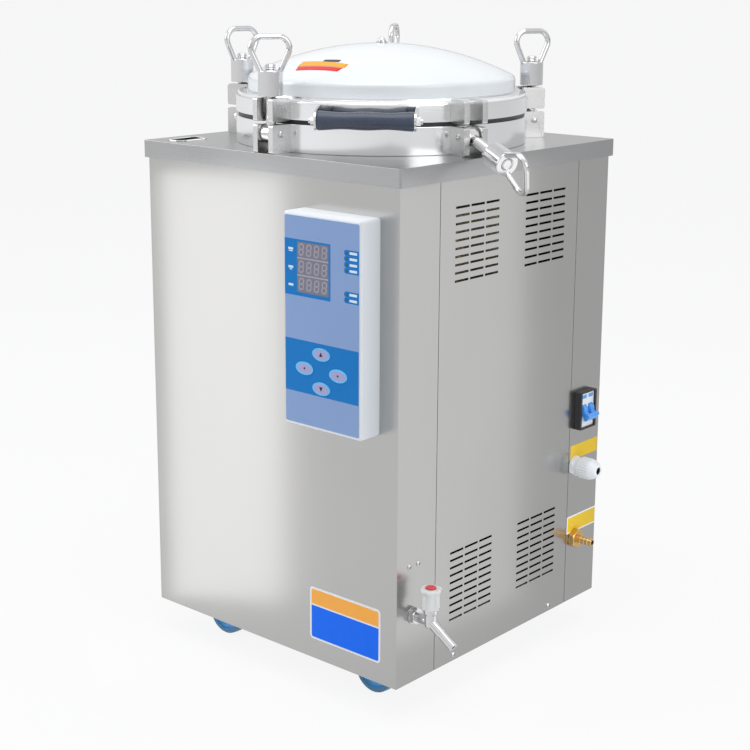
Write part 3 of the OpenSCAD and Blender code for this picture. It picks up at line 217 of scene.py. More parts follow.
def eased(corners, radius, steps=5, closed=False):
    """Polyline whose corners p become curves (1-s)^2 a + 2 s (1-s) p + s^2 b, with a and b radius from p."""
    p = np.asarray(corners, float)
    to_last = np.roll(p, 1, 0) - p
    to_next = np.roll(p, -1, 0) - p
    span = np.minimum(np.linalg.norm(to_last, axis=1), np.linalg.norm(to_next, axis=1))
    reach = np.minimum(np.broadcast_to(np.asarray(radius, float), span.shape), 0.49 * span)[:, None]
    a = p + to_last / np.linalg.norm(to_last, axis=1, keepdims=True) * reach
    b = p + to_next / np.linalg.norm(to_next, axis=1, keepdims=True) * reach
    s = np.linspace(0, 1, steps)[None, :, None]
    curve = (1 - s) ** 2 * a[:, None] + 2 * s * (1 - s) * p[:, None] + s**2 * b[:, None]
    if closed:
        return curve.reshape(-1, p.shape[1])
    return np.concatenate([p[:1], curve[1:-1].reshape(-1, p.shape[1]), p[-1:]])


def swept(path, radius, sides):
    """Round bar along a path in the plane y = 0: centre c plus radius (cos q n + sin q m), n along Y."""
    c = np.asarray(path, float)
    ahead = np.roll(c, -1, 0) - np.roll(c, 1, 0)
    ahead[0], ahead[-1] = c[1] - c[0], c[-1] - c[-2]
    ahead /= np.linalg.norm(ahead, axis=1, keepdims=True)
    n = np.array([0.0, 1.0, 0.0])
    m = np.cross(ahead, n)
    q = circle(sides)[None, :, None]
    points = c[:, None] + radius * (np.cos(q) * n + np.sin(q) * m[:, None])
    ends = np.broadcast_to(c[[0, -1]][:, None], (2, sides, 3))
    return grid(np.concatenate([ends[:1], points, ends[1:]]), (False, True))


def outline(width, height, radius, steps=9):
    """Rounded rectangle: corner centre plus radius (cos q, sin q), q a quarter turn at each corner."""
    radius = np.broadcast_to(np.asarray(radius, float), (4,))[:, None]
    q = np.linspace(0, math.pi / 2, steps)[None, :] + np.arange(4)[:, None] * math.pi / 2
    sx, sy = np.array([1, -1, -1, 1])[:, None], np.array([1, 1, -1, -1])[:, None]
    x = sx * (width / 2 - radius) + radius * np.cos(q)
    y = sy * (height / 2 - radius) + radius * np.sin(q)
    return np.stack([x.ravel(), y.ravel()], 1)


def oval(width, height, steps=64):
    """Ellipse: (width/2 cos q, height/2 sin q)."""
    q = circle(steps)
    return np.stack([width / 2 * np.cos(q), height / 2 * np.sin(q)], 1)


def raised(edge, height, ease=0.0, crown=0.0):
    """Pad over an outline: rings of it drawn in by ease (1 - cos q) at height - ease (1 - sin q), then a
    crown that rises as 1 - share^2 towards the middle."""
    edge = np.asarray(edge, float)
    middle = (edge.max(0) + edge.min(0)) / 2
    half = (edge.max(0) - edge.min(0)) / 2
    q = np.linspace(0, math.pi / 2, 4)
    inset = np.concatenate([[0.0], ease * (1 - np.cos(q))])
    lift = np.concatenate([[0.0], height - ease * (1 - np.sin(q))])
    share = np.linspace(1, 0, 6 if crown else 2)[1:]
    shrink = 1 - inset[:, None] / half[None, :]
    rings = middle + (edge - middle)[None] * shrink[:, None]
    rings = np.concatenate([rings, middle + (rings[-1] - middle)[None] * share[:, None, None]])
    lift = np.concatenate([lift, height + crown * (1 - share**2)])
    rings = np.concatenate([middle + 0 * rings[:1], rings])
    lift = np.concatenate([[0.0], lift])
    points = np.concatenate([rings, np.broadcast_to(lift[:, None, None], rings.shape[:2] + (1,))], -1)
    return grid(points, (False, True))


# Pieces


def added(name, data):
    """New object that holds the data, linked to the scene."""
    obj = bpy.data.objects.new(name, data)
    bpy.context.scene.collection.objects.link(obj)
    return obj


def stand(obj, columns, place):
    """Puts a lamp or the camera at a place, turned by the columns."""
    turn = Matrix(columns.tolist()).to_4x4()
    turn.translation = place
    obj.matrix_world = turn


def modify(obj, name, kind, **values):
    """New modifier with the values set on it."""
    made = obj.modifiers.new(name, kind)
    for key, value in values.items():
        setattr(made, key, value)


def wired(tree, kind, inputs=(), **values):
    """New node with the values set on it; an input is a number, a colour, a socket or a node's first one."""
    made = tree.nodes.new(kind)
    for key, value in values.items():
        setattr(made, key, value)
    for key, value in dict(inputs).items():
        if isinstance(value, bpy.types.Node):
            value = value.outputs[0]
        if isinstance(value, bpy.types.NodeSocket):
            tree.links.new(value, made.inputs[key])
        else:
            made.inputs[key].default_value = value
    return made


def piece(name, surfaces, body, material, replaces=(), crisp=35.0):
    """One object from one or more surfaces, in millimetres, riding on a body."""
    mesh = bpy.data.meshes.new(name)
    points, faces, count = [], [], 0
    for p, f in surfaces:
        points.append(p)
        faces.append(f + count)
        count += len(p)
    mesh.from_pydata(np.concatenate(points) * MM, [], np.concatenate(faces).tolist())
    shell = bmesh.new()
    shell.from_mesh(mesh)
    bmesh.ops.remove_doubles(shell, verts=shell.verts, dist=WELD)
    bmesh.ops.recalc_face_normals(shell, faces=shell.faces)
    shell.to_mesh(mesh)
    shell.free()
    mesh.shade_smooth()
    mesh.set_sharp_from_angle(angle=math.radians(crisp))
    obj = added(name, mesh)
    modify(obj, "Even Light", "WEIGHTED_NORMAL", keep_sharp=True)
    mesh.materials.append(material)
    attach(obj, body)
    if replaces:
        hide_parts(*replaces)
    return obj


def even_edges():
    """Modifier nodes that shade faces smooth up to CRISP degrees and keep sharper edges crisp."""
    name = "Crisp Edges"
    if name in bpy.data.node_groups:
        return bpy.data.node_groups[name]
    tree = bpy.data.node_groups.new(name, "GeometryNodeTree")
    for way in ("INPUT", "OUTPUT"):
        tree.interface.new_socket("Geometry", in_out=way, socket_type="NodeSocketGeometry")
    faces = wired(tree, "GeometryNodeSetShadeSmooth", {"Geometry": wired(tree, "NodeGroupInput")})
    angle = wired(tree, "GeometryNodeInputMeshEdgeAngle").outputs["Unsigned Angle"]
    small = wired(tree, "FunctionNodeCompare", {0: angle, 1: math.radians(CRISP)}, operation="LESS_THAN")
    inputs = {"Geometry": faces, "Shade Smooth": small}
    edges = wired(tree, "GeometryNodeSetShadeSmooth", inputs, domain="EDGE")
    wired(tree, "NodeGroupOutput", {0: edges})
    return tree


def dress(node, material, edge=0.4):
    """Gives a CAD node its finish, and eased edges of that width in millimetres."""
    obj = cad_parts[node]
    obj.data.materials.clear()
    obj.data.materials.append(material)
    modify(obj, "Weld", "WELD", merge_threshold=WELD)
    modify(obj, "Flat Faces", "DECIMATE", decimate_type="DISSOLVE", angle_limit=math.radians(FLAT))
    if edge:
        modify(obj, "Eased Edges", "BEVEL", width=edge * MM, segments=2, limit_method="ANGLE",
               angle_limit=math.radians(40))
    modify(obj, "Crisp Edges", "NODES", node_group=even_edges())
    modify(obj, "Even Light", "WEIGHTED_NORMAL", keep_sharp=True)


# Finishes


def finish(name, colour, metallic=0.0, rough=0.4, grain=(400, 400, 400), depth=0.05, tone=0.04, spread=0.06,
           cloud=9.0, coat=0.0, sheen=0.0, round_grain=False, shine=0.5):
    """Material of one colour: a fine grain, slow clouds of tone and roughness, and a bump from the grain."""
    if name in bpy.data.materials:
        return bpy.data.materials[name]
    material = bpy.data.materials.new(name)
    material.use_nodes = True
    tree = material.node_tree
    shader = tree.nodes["Principled BSDF"]
    plain = {"Metallic": metallic, "Specular IOR Level": shine, "Coat Weight": coat, "Coat Roughness": 0.06,
             "Sheen Weight": sheen}
    for key, value in plain.items():
        shader.inputs[key].default_value = value
    lines = place = wired(tree, "ShaderNodeTexCoord").outputs["Object"]
    if round_grain:
        # Distance from the chamber's axis and height, for marks left by turning
        flat = wired(tree, "ShaderNodeVectorMath", {0: place, 1: (1, 1, 0)}, operation="MULTIPLY")
        away = wired(tree, "ShaderNodeVectorMath", {0: flat}, operation="LENGTH").outputs["Value"]
        rise = wired(tree, "ShaderNodeSeparateXYZ", {0: place}).outputs["Z"]
        lines = wired(tree, "ShaderNodeCombineXYZ", {"X": away, "Z": rise})
    scaled = wired(tree, "ShaderNodeMapping", {"Vector": lines, "Scale": grain})
    fine = wired(tree, "ShaderNodeTexNoise", {"Vector": scaled, "Scale": 1.0, "Detail": 3.0}).outputs["Fac"]
    slow = wired(tree, "ShaderNodeTexNoise", {"Vector": place, "Scale": cloud, "Detail": 2.0}).outputs["Fac"]
    part = wired(tree, "ShaderNodeMath", {0: slow, 1: 0.55}, operation="MULTIPLY")
    mixed = wired(tree, "ShaderNodeMath", {0: fine, 1: 0.45, 2: part}, operation="MULTIPLY_ADD")
    shade = wired(tree, "ShaderNodeValToRGB", {0: mixed})
    for stop, position, gain in zip(shade.color_ramp.elements, (DIM, LIT), (1 - tone, 1 + tone)):
        stop.position = position
        stop.color = tuple(min(1, c * gain) for c in colour[:3]) + (1,)
    gloss = wired(tree, "ShaderNodeMapRange", {"Value": mixed, "From Min": DIM, "From Max": LIT,
                                               "To Min": max(0.02, rough - spread), "To Max": rough + spread})
    bump = wired(tree, "ShaderNodeBump", {"Strength": depth, "Distance": 0.0004, "Height": fine})
    for key, node in {"Base Color": shade, "Roughness": gloss, "Normal": bump}.items():
        tree.links.new(node.outputs[0], shader.inputs[key])
    return material


def brushed_sheet():
    return finish("Brushed Cabinet Sheet", (0.47, 0.467, 0.462), 1, 0.24, (1500, 1500, 5), 0.01,
                  spread=0.04, cloud=3)


def deck_sheet():
    return finish("Brushed Deck Sheet", (0.42, 0.422, 0.428), 1, 0.3, (6, 1500, 1500), 0.05, 0.05, 0.05, 4)


def turned_steel():
    return finish("Turned Flange Steel", (0.88, 0.89, 0.9), 1, 0.17, (1400, 1, 1400), 0.04, 0.05, 0.05, 6,
                  round_grain=True)


def satin_steel():
    return finish("Satin Lug Steel", (0.66, 0.66, 0.655), 1, 0.27, (900, 900, 900), 0.06, 0.06, 0.06, 20)


def polished_steel():
    return finish("Polished Clamp Steel", (0.66, 0.66, 0.67), 1, 0.1, (300, 300, 300), 0.02, 0.04, 0.04, 30)


def zinc_steel():
    return finish("Bright Zinc", (0.6, 0.61, 0.63), 1, 0.33, (500, 500, 500), 0.06, 0.1, 0.08, 40)


def plain_steel():
    return finish("Drawn Steel", (0.62, 0.62, 0.61), 1, 0.32, (700, 700, 700), 0.06, 0.06, 0.08, 15)


def brass():
    return finish("Turned Brass", (0.72, 0.48, 0.2), 1, 0.26, (900, 900, 900), 0.06, 0.08, 0.07, 30)


def white_enamel():
    return finish("White Enamel", (0.86, 0.9, 0.93), 0, 0.2, (260, 260, 260), 0.03, 0.015, 0.04, 12, coat=0.5)


def housing_paint():
    return finish("Housing Powder Coat", (0.84, 0.88, 0.92), 0, 0.34, (900, 900, 900), 0.12, 0.015, 0.05, 14)


def moulded(name, colour, rough=0.38, coat=0.0):
    return finish(name, colour, 0.0, rough, (1100, 1100, 1100), 0.07, 0.03, 0.05, 30.0, coat=coat)


def printed(name, colour, rough=0.3):
    return finish(name, colour, 0.0, rough, (1600, 1600, 1600), 0.05, 0.02, 0.04, 18.0, shine=0.2)


def rubber(name, colour, rough=0.45):
    return finish(name, colour, 0.0, rough, (800, 800, 800), 0.15, 0.12, 0.08, 25.0, sheen=0.15)


# Settings


def length(name, text, default, low, high):
    """Length property in metres."""
    return FloatProperty(name=name, description=text, default=default, min=low, max=high, unit="LENGTH",
                         precision=4)


def tint(name, text, default):
    """Colour property."""
    return FloatVectorProperty(name=name, description=text, default=default, size=3, min=0, max=1,
                               subtype="COLOR")


class ClampSettings(bpy.types.PropertyGroup):
    """Sizes of the swing bolts and ring nuts."""

    pitch: length("Thread pitch", "Distance from one thread ridge to the next", 0.0025, 0.001, 0.004)
    thread_depth: length("Thread depth", "Depth of the thread's groove", 0.0009, 0.0002, 0.002)
    thread_start: length("Thread start", "Height over the pin where the thread starts", 0.023, 0.01, 0.04)


class PrintSettings(bpy.types.PropertyGroup):
    """Colours of the control panel's film and of the stickers."""

    film: tint("Film", "Ground colour of the control panel", (0.26, 0.385, 0.66))
    band: tint("Bands", "Colour of the bands on the control panel", (0.0, 0.19, 0.57))
    key_ring: tint("Key rings", "Colour round each key", (0.13, 0.6, 1.0))
    key_face: tint("Key faces", "Colour of each key's middle", (0.4, 0.4, 0.68))
    window: tint("Window", "Colour of the display window", (0.155, 0.155, 0.215))
    segment: tint("Digits", "Colour of the unlit digits", (0.38, 0.355, 0.43))
    amber: tint("Label top", "Colour of the labels' upper field", (1.0, 0.45, 0.08))
    blue: tint("Label field", "Colour of the front label's lower field", (0.0, 0.155, 0.96))
    yellow: tint("Side labels", "Colour of the labels on the side", (0.83, 0.56, 0.03))
    red: tint("Lid sticker", "Colour of the lower strip on the lid", (0.8, 0.03, 0.03))


class StageSettings(bpy.types.PropertyGroup):
    """Camera and light."""

    yaw: FloatProperty(name="Yaw", description="Turn round the object", default=0.717, subtype="ANGLE")
    pitch: FloatProperty(name="Pitch", description="Tilt of the camera", default=0.2304, subtype="ANGLE")
    distance: length("Distance", "From the camera to the point it looks at", 2.5455, 0.5, 9.0)
    lens: FloatProperty(name="Lens", description="Focal length in mm", default=74.571, min=20, max=200)
    lamps: FloatProperty(name="Lamps", description="Strength of the lamps", default=1.0, min=0, max=4)
    floor_z: length("Floor", "Height of the floor", -0.102, -1.0, 1.0)


# Operators


def settings(name):
    return getattr(bpy.context.scene, name)


class MakePiece(bpy.types.Operator):
    """Base of the operators that make the pieces."""

    bl_options = {"REGISTER", "UNDO"}

    def execute(self, context):
        self.make()
        return {"FINISHED"}


class STERILISER_OT_cabinet(MakePiece):
    """Sheet metal of the cabinet, the deck and what is inside"""

    bl_idname = "steriliser.cabinet"
    bl_label = "Cabinet"

    def make(self):
        for node in ("front_panel", "rear_wrap", "side_access_panel", "base_tray"):
            dress(node, brushed_sheet(), 0.5)
        dress("deck", deck_sheet(), 1.2)
        dress("deck_grip", polished_steel(), 0.6)
        for node in ("vessel_shell", "lid_head", "basket", "steam_plate", "drain_pipe", "exhaust_line"):
            dress(node, plain_steel(), 0.3)
        dress("heater_element", finish("Heat-Stained Steel", (0.34, 0.3, 0.27), 1.0, 0.4), 0)
        wool = finish("Mineral Wool", (0.6, 0.5, 0.28), 0.0, 0.9, (300, 300, 300), 0.6, 0.2, 0.05, sheen=0.4)
        dress("insulation_jacket", wool, 0)
        dress("control_board", moulded("Board Green", (0.02, 0.16, 0.07)), 0)
        screws = [placed(self.screw(), (CAB_SIDE, y, z), axes((1, 0, 0))) for y, z in SCREW_PLACES]
        piece("panel_screw_heads", screws, "cabinet", polished_steel(), ("panel_screws",), 40)

    def screw(self):
        """Pan head: height 2.5 (1 - (r/4)^2 / 2), less 1.3 where |x| or |y| is under 0.55 inside r 2.2."""
        r = np.concatenate([np.linspace(0, 3.4, 24), [3.75, 3.95, 4.0, 4.0, 0.0]])[:, None]
        t = circle(96)[None, :]
        x, y = r * np.cos(t), r * np.sin(t)
        h = 2.5 * (1 - (r / 4) ** 2 / 2) + 0 * t
        cross = ((np.abs(x) < 0.55) | (np.abs(y) < 0.55)) & (r < 2.2)
        h = np.where(cross, h - 1.3, h)
        h[-5:-3] = np.array([1.15, 0.8])[:, None]
        h[-3], h[-2], h[-1] = 0.4, -0.2, -0.2
        return grid(np.stack([x, y, h], -1), (False, True))


class STERILISER_OT_vessel(MakePiece):
    """Flange, lugs and pins at the chamber's mouth"""

    bl_idname = "steriliser.vessel"
    bl_label = "Chamber Mouth"

    def make(self):
        dress("vessel_flange", turned_steel(), 1.2)
        dress("vessel_lugs", satin_steel(), 0.8)
        dress("pivot_pins", polished_steel(), 0.3)


class STERILISER_OT_lid(MakePiece):
    """Lid with its cover, gasket, lugs, handle and stickers"""

    bl_idname = "steriliser.lid"
    bl_label = "Lid"

    def make(self):
        dress("lid_flange", turned_steel(), 0.6)
        dress("lid_cover", white_enamel(), 0.3)
        dress("lid_gasket", rubber("Black Gasket", (0.02, 0.02, 0.022)), 0)
        dress("lid_lugs", satin_steel(), 0.8)
        dress("handle_bracket", polished_steel(), 0.4)
        dress("cover_nut", polished_steel(), 0.2)
        self.grip()
        self.stickers()

    def grip(self):
        """Radius 14 - 0.75 (1 - cos 4 pi s) - 0.75 sin pi s, with beads at both ends; s runs along it."""
        s = np.linspace(0, 1, 73)
        r = GRIP_D / 2 - 0.75 * (1 - np.cos(4 * math.pi * s)) - 0.75 * np.sin(math.pi * s)
        h = (s - 0.5) * (GRIP_L - 3)
        ends = np.array([[ROD_R + 0.1, 0.0], [r[0] - 2.6, 0.0], [r[0] - 0.9, 0.5], [r[0] - 0.2, 1.4]])
        low = ends + [0, -GRIP_L / 2]
        high = ends[::-1] * [1, -1] + [0, GRIP_L / 2]
        w = math.radians(HANDLE_AZIMUTH)
        out, along = (math.cos(w), math.sin(w), 0.0), (-math.sin(w), math.cos(w), 0.0)
        body = turned(np.concatenate([low, np.stack([r, h], 1)[1:-1], high]), 96)
        start = (GRIP_R * out[0], GRIP_R * out[1], GRIP_Z)
        navy = rubber("Navy Grip Rubber", (0.045, 0.06, 0.1), 0.3)
        sleeve = placed(body, start, axes(along))
        piece("handle_grip_sleeve", [sleeve], "lid", navy, ("handle_grip",))

    def stickers(self):
        """Patches on the dome: corner-to-corner blend in x and y, height of the cover's ball plus 0.3."""
        ball = (DOME_R**2 + DOME_RISE**2) / (2 * DOME_RISE)
        patches = {
            "lid_sticker_dark": ([(6, -138), (34, -132), (36, -140), (9, -146)], (0.03, 0.035, 0.05)),
            "lid_sticker_amber": ([(-29, -148), (57, -141), (60, -153), (-23, -167)], (0.93, 0.42, 0.02)),
            "lid_sticker_red": ([(-21, -168), (58, -155), (58, -167), (-15, -180)],
                                tuple(settings("steriliser_prints").red)),
        }
        u = np.linspace(0, 1, 17)[:, None, None]
        v = np.linspace(0, 1, 9)[None, :, None]
        for name, (corners, colour) in patches.items():
            a, b, c, d = (np.array(p, float) for p in corners)
            flat = (1 - u) * (1 - v) * a + u * (1 - v) * b + u * v * c + (1 - u) * v * d
            top = DOME_RIM_Z + DOME_RISE - ball + np.sqrt(ball**2 - (flat**2).sum(-1))
            sheet = grid(np.concatenate([flat, top[..., None] + 0.3], -1))
            obj = piece(name, [sheet], "lid", printed(name.replace("_", " ").title(), colour))
            modify(obj, "Film", "SOLIDIFY", thickness=0.2 * MM, offset=-1.0)


class STERILISER_OT_clamps(MakePiece):
    """Swing bolts with real threads, and their ring nuts"""

    bl_idname = "steriliser.clamps"
    bl_label = "Clamps"

    def make(self):
        steel = polished_steel()
        for i, azimuth in enumerate(CLAMP_AZIMUTHS):
            w, tilt = math.radians(azimuth), math.radians(CLAMP_TILTS[i])
            pivot = (CLAMP_R * math.cos(w), CLAMP_R * math.sin(w), PIVOT_Z)
            along = (math.cos(w) * math.sin(tilt), math.sin(w) * math.sin(tilt), math.cos(tilt))
            across = (math.cos(w) * math.cos(tilt), math.sin(w) * math.cos(tilt), -math.sin(tilt))
            turn = axes(along, across)
            number = str(i + 1)
            body, slot = "clamp_" + number, "polished_steel"
            bolt = [placed(s, pivot, turn) for s in self.bolt()]
            piece("swing_bolt_" + number, bolt, body, steel, ("clamp_bolt_" + number,))
            lift = np.asarray(pivot) + turn @ np.array([0, 0, NUT_LOW + NUT_BACKOFFS[i]])
            nut = [placed(s, lift, turn @ spin(RING_TURNS[i])) for s in self.nut()]
            piece("ring_nut_body_" + number, nut, "nut_" + number, steel, ("ring_nut_" + number,))

    def bolt(self):
        """Shank: radius 8 less depth times a saw wave of height / pitch less turn; eye: a barrel across."""
        sizes = settings("steriliser_clamps")
        pitch, depth = sizes.pitch / MM, sizes.thread_depth / MM
        start = sizes.thread_start / MM
        h = np.concatenate([[6.0, 12.0, start - 1.6, start - 0.8], np.arange(start, BOLT_TOP - 2, pitch / 8),
                            [BOLT_TOP - 1.6, BOLT_TOP - 0.1, BOLT_TOP, BOLT_TOP]])
        r = np.full(len(h), BOLT_R)
        r[:3] = BOLT_R - 0.45
        r[-3:] = [BOLT_R - 1.5, BOLT_R - 1.7, 0.0]

        def thread(radius, t, height):
            wave = np.abs(((height / pitch - t / (2 * math.pi)) % 1.0) * 2 - 1)
            live = np.clip((height - start) / pitch, 0, 1) * (height < BOLT_TOP - 1.7)
            return radius - depth * wave * live

        shank = turned(np.stack([r, h], 1), 40, radius=thread)
        corners = [(PIN_R, -EYE_W / 2), (EYE_R, -EYE_W / 2), (EYE_R, EYE_W / 2), (PIN_R, EYE_W / 2)]
        eye = turned(eased(corners, (0.5, 5, 5, 0.5), 9, True), 64, True)
        return [shank, placed(eye, turn=axes((0, 1, 0)))]

    def nut(self):
        """Nut: turned profile with chamfers; ring: a round bar bent to a loop over it that widens upwards."""
        low, high = 8.1, 10.2
        corners = [(low, 1.2), (high - 0.6, 0), (NUT_R, 0), (NUT_R, NUT_H), (high, NUT_H), (low, NUT_H - 2)]
        body = turned(eased(corners, (0.2, 0.3, 1.6, 1.6, 0.5, 0.3), 6, True), 96, True)
        lean, corner_r, half, bar = math.radians(25), 17.0, 12.0, 4.45
        top, leg = 85.5, 35.7
        q = np.linspace(math.pi / 2, -lean, 22)
        arc = np.stack([half + corner_r * np.cos(q), top - corner_r + corner_r * np.sin(q)], 1)
        foot = arc[-1] + np.array([-math.sin(lean), -math.cos(lean)]) * np.linspace(0, 1, 10)[1:, None] * leg
        side = np.concatenate([arc, foot])
        path = np.concatenate([side[::-1] * [-1, 1], side])
        points = np.stack([path[:, 0], 0 * path[:, 0], path[:, 1]], 1)
        return [body, swept(points, bar, 24)]


class STERILISER_OT_panel(MakePiece):
    """Control panel with its film, display, lights and keys"""

    bl_idname = "steriliser.panel"
    bl_label = "Control Panel"

    def make(self):
        prints = settings("steriliser_prints")
        dress("panel_housing", housing_paint(), 0)
        dress("panel_overlay", printed("Panel Film", prints.film), 0.2)
        dress("display_window", moulded("Display Window", prints.window, 0.16, 0.6), 0.2)
        self.band = printed("Band Print", prints.band)
        self.pale = printed("Pale Print", (0.75, 0.86, 0.95))
        # Bands, each given by its share of the film from the left and from the top
        self.patch("display_band", 0.0, 0.11, 0.172, 0.378)
        self.patch("display_band_top", 0.17, 0.11, 0.625, 0.1195)
        self.patch("display_band_side", 0.6, 0.1195, 0.625, 0.3605)
        self.patch("display_band_foot", 0.17, 0.3605, 0.625, 0.378)
        self.key_band()
        self.legends()
        self.digits(prints)
        self.lights()
        self.keys(prints)

    def on_film(self, name, shapes, material):
        piece(name, shapes, "cabinet", material)

    def surface(self, edge, x, z, y, height, ease=0.0, crown=0.0):
        """Pad on the panel, centred x and z from the film's middle, standing height out of the plane y."""
        return placed(raised(edge, height, ease, crown=crown), (OVERLAY_X + x, y, OVERLAY_Z + z), FRONTWAYS)

    def patch(self, name, left, top, right, foot):
        """Sharp-cornered band between these shares of the film"""
        width, tall = (right - left) * OVERLAY_W, (foot - top) * OVERLAY_H
        x, z = ((left + right) / 2 - 0.5) * OVERLAY_W, (0.5 - (top + foot) / 2) * OVERLAY_H
        shape = self.surface(outline(width, tall, 0.05, 5), x, z, OVERLAY_Y, PRINT_H)
        self.on_film(name, [shape], self.band)

    def key_band(self):
        """Band with four oval holes: quads run from each oval to the edge of its own cell."""
        half, inner_x, middle_z = OVERLAY_W / 2, 17.5, -68.2
        z_top, z_foot = (0.5 - 0.589) * OVERLAY_H, (0.5 - 0.845) * OVERLAY_H
        cells = {
            "up": (-inner_x, inner_x, z_top, middle_z),
            "down": (-inner_x, inner_x, middle_z, z_foot),
            "left": (-half, -inner_x, z_top, z_foot),
            "right": (inner_x, half, z_top, z_foot),
        }
        d = np.stack([np.cos(circle(96)), np.sin(circle(96))], 1)
        hole = oval(KEY_W + 0.7, KEY_H + 0.7, 96)
        widest = inner_x - 0.05
        hole = hole * np.minimum(1.0, widest / np.maximum(np.abs(hole[:, :1]), widest))
        lift = np.array([0.0, PRINT_H, PRINT_H, 0.0])[:, None]
        shapes = []
        for name, (left, right, high, low) in cells.items():
            cx, cz = KEY_PLACES[name]
            reach_x = np.where(d[:, 0] > 0, right - cx, cx - left) / np.maximum(np.abs(d[:, 0]), 1e-9)
            reach_z = np.where(d[:, 1] > 0, high - cz, cz - low) / np.maximum(np.abs(d[:, 1]), 1e-9)
            outer = np.minimum(reach_x, reach_z)[:, None] * d + [cx, cz]
            for corner in ((left, high), (right, high), (left, low), (right, low)):
                near = np.argmin(((outer - corner) ** 2).sum(1))
                outer[near] = corner
            inner = hole + [cx, cz]
            x, z = np.moveaxis(np.stack([inner, inner, outer, outer]), -1, 0)
            points = np.stack([OVERLAY_X + x, OVERLAY_Y - lift + 0 * x, OVERLAY_Z + z], -1)
            shapes.append(grid(points, (True, True)))
        self.on_film("key_band", shapes, self.band)

    def legends(self):
        """Plain pale bars where the panel has captions"""
        x, step, tall = (0.085 - 0.5) * OVERLAY_W, 3.4, (9.5, 3.4)
        shapes = []
        for v, lines in ((0.158, (tall, (8.0, 1.5))), (0.245, (tall, (5.0, 1.5))), (0.33, (tall,))):
            z = (0.5 - v) * OVERLAY_H
            for k, (w, h) in enumerate(lines):
                bar = outline(w, h, 0.6, 4)
                shapes.append(self.surface(bar, x, z - step * k, OVERLAY_Y - PRINT_H, CAPTION_H))
        self.on_film("display_captions", shapes, self.pale)

    def digits(self, prints):
        """Three rows of four figures of seven six-sided bars, leaning 5 degrees, and rules between rows"""
        bar = np.array([(-1, 0), (-0.8, 1), (0.8, 1), (1, 0), (0.8, -1), (-0.8, -1)], float)
        long_w, tall, wide, thin = 7.2, 15.6, 8.0, 1.15
        flat = [(0, tall / 2), (0, 0), (0, -tall / 2)]
        upright = [(-wide / 2, tall / 4), (wide / 2, tall / 4), (-wide / 2, -tall / 4), (wide / 2, -tall / 4)]
        lean = math.tan(math.radians(5))
        shapes = []
        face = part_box("display_window")[0].y / MM
        for row in range(3):
            z = WINDOW_Z + WINDOW_H / 3 * (1 - row)
            for col in range(4):
                x = WINDOW_X + WINDOW_W * ((col + 0.5) / 4 - 0.5) * 0.97
                for k, (dx, dz) in enumerate(flat + upright):
                    size = [long_w / 2, thin] if k < 3 else [thin, tall / 4 - 0.35]
                    edge = (bar if k < 3 else bar[:, ::-1]) * size + [dx, dz]
                    edge[:, 0] += edge[:, 1] * lean
                    shapes.append(self.surface(edge, x, z, face, 0.06))
        unlit = printed("Unlit Segments", prints.segment)
        piece("display_digits", shapes, "cabinet", unlit, crisp=60)
        edge = outline(WINDOW_W - 1.0, 2.0, 0.4, 4)
        rules = [self.surface(edge, WINDOW_X, WINDOW_Z + k * WINDOW_H / 6, face, 0.09) for k in (-1, 1)]
        piece("display_rules", rules, "cabinet", printed("Window Rules", (0.42, 0.41, 0.47)))

    def lights(self):
        """Blue fields at the film's right edge, each with a lamp and a plain pale bar"""
        fields, lamps, bars = [], [], []
        step = 0.0275
        tops = [0.123 + step * k for k in range(4)] + [0.3155 + step * k for k in range(2)]
        width = (1.0 - 0.807) * OVERLAY_W
        x = (0.9035 - 0.5) * OVERLAY_W
        out = OVERLAY_Y - PRINT_H
        for v in tops:
            z = (0.5 - v - step / 2) * OVERLAY_H
            edge = outline(width, 8.3, (0.1, 3.6, 3.6, 0.1), 9)
            fields.append(self.surface(edge, x, z, OVERLAY_Y, PRINT_H))
            lamps.append(self.surface(oval(4.6, 4.6, 32), x - width / 2 + 4.2, z, out, 0.5, 0.4, 0.3))
            bars.append(self.surface(outline(14.0, 3.6, 0.6, 4), x + 3.4, z, out, CAPTION_H))
        self.on_film("indicator_fields", fields, self.band)
        self.on_film("indicator_lamps", lamps, moulded("Indicator Lens", (0.01, 0.1, 0.22), 0.15))
        self.on_film("indicator_captions", bars, self.pale)

    def keys(self, prints):
        """Oval key faces with plain arrows"""
        ring = printed("Key Ring Print", prints.key_ring)
        face = printed("Key Face Print", prints.key_face)
        black = printed("Arrow Print", (0.012, 0.012, 0.014))
        arrow = np.array([(0, 3.7), (-3.4, -2.9), (3.4, -2.9)])
        turns = {"up": 0, "down": 180, "left": 90, "right": -90}
        for name, (x, z) in KEY_PLACES.items():
            node = "key_" + name
            dress(node, ring, 0.2)
            shape = self.surface(oval(KEY_W - 4.6, KEY_H - 4.2), x, z, KEY_Y, 0.12, 0.08, 0.12)
            piece(node + "_face", [shape], node, face)
            size = 1.0 if name in ("up", "down") else 0.62
            edge = eased(arrow @ spin(turns[name])[:2, :2].T * size, 0.4, 4, True)
            shape = self.surface(edge, x, z, KEY_Y - 0.2, 0.12)
            piece(node + "_arrow", [shape], node, black, crisp=60)


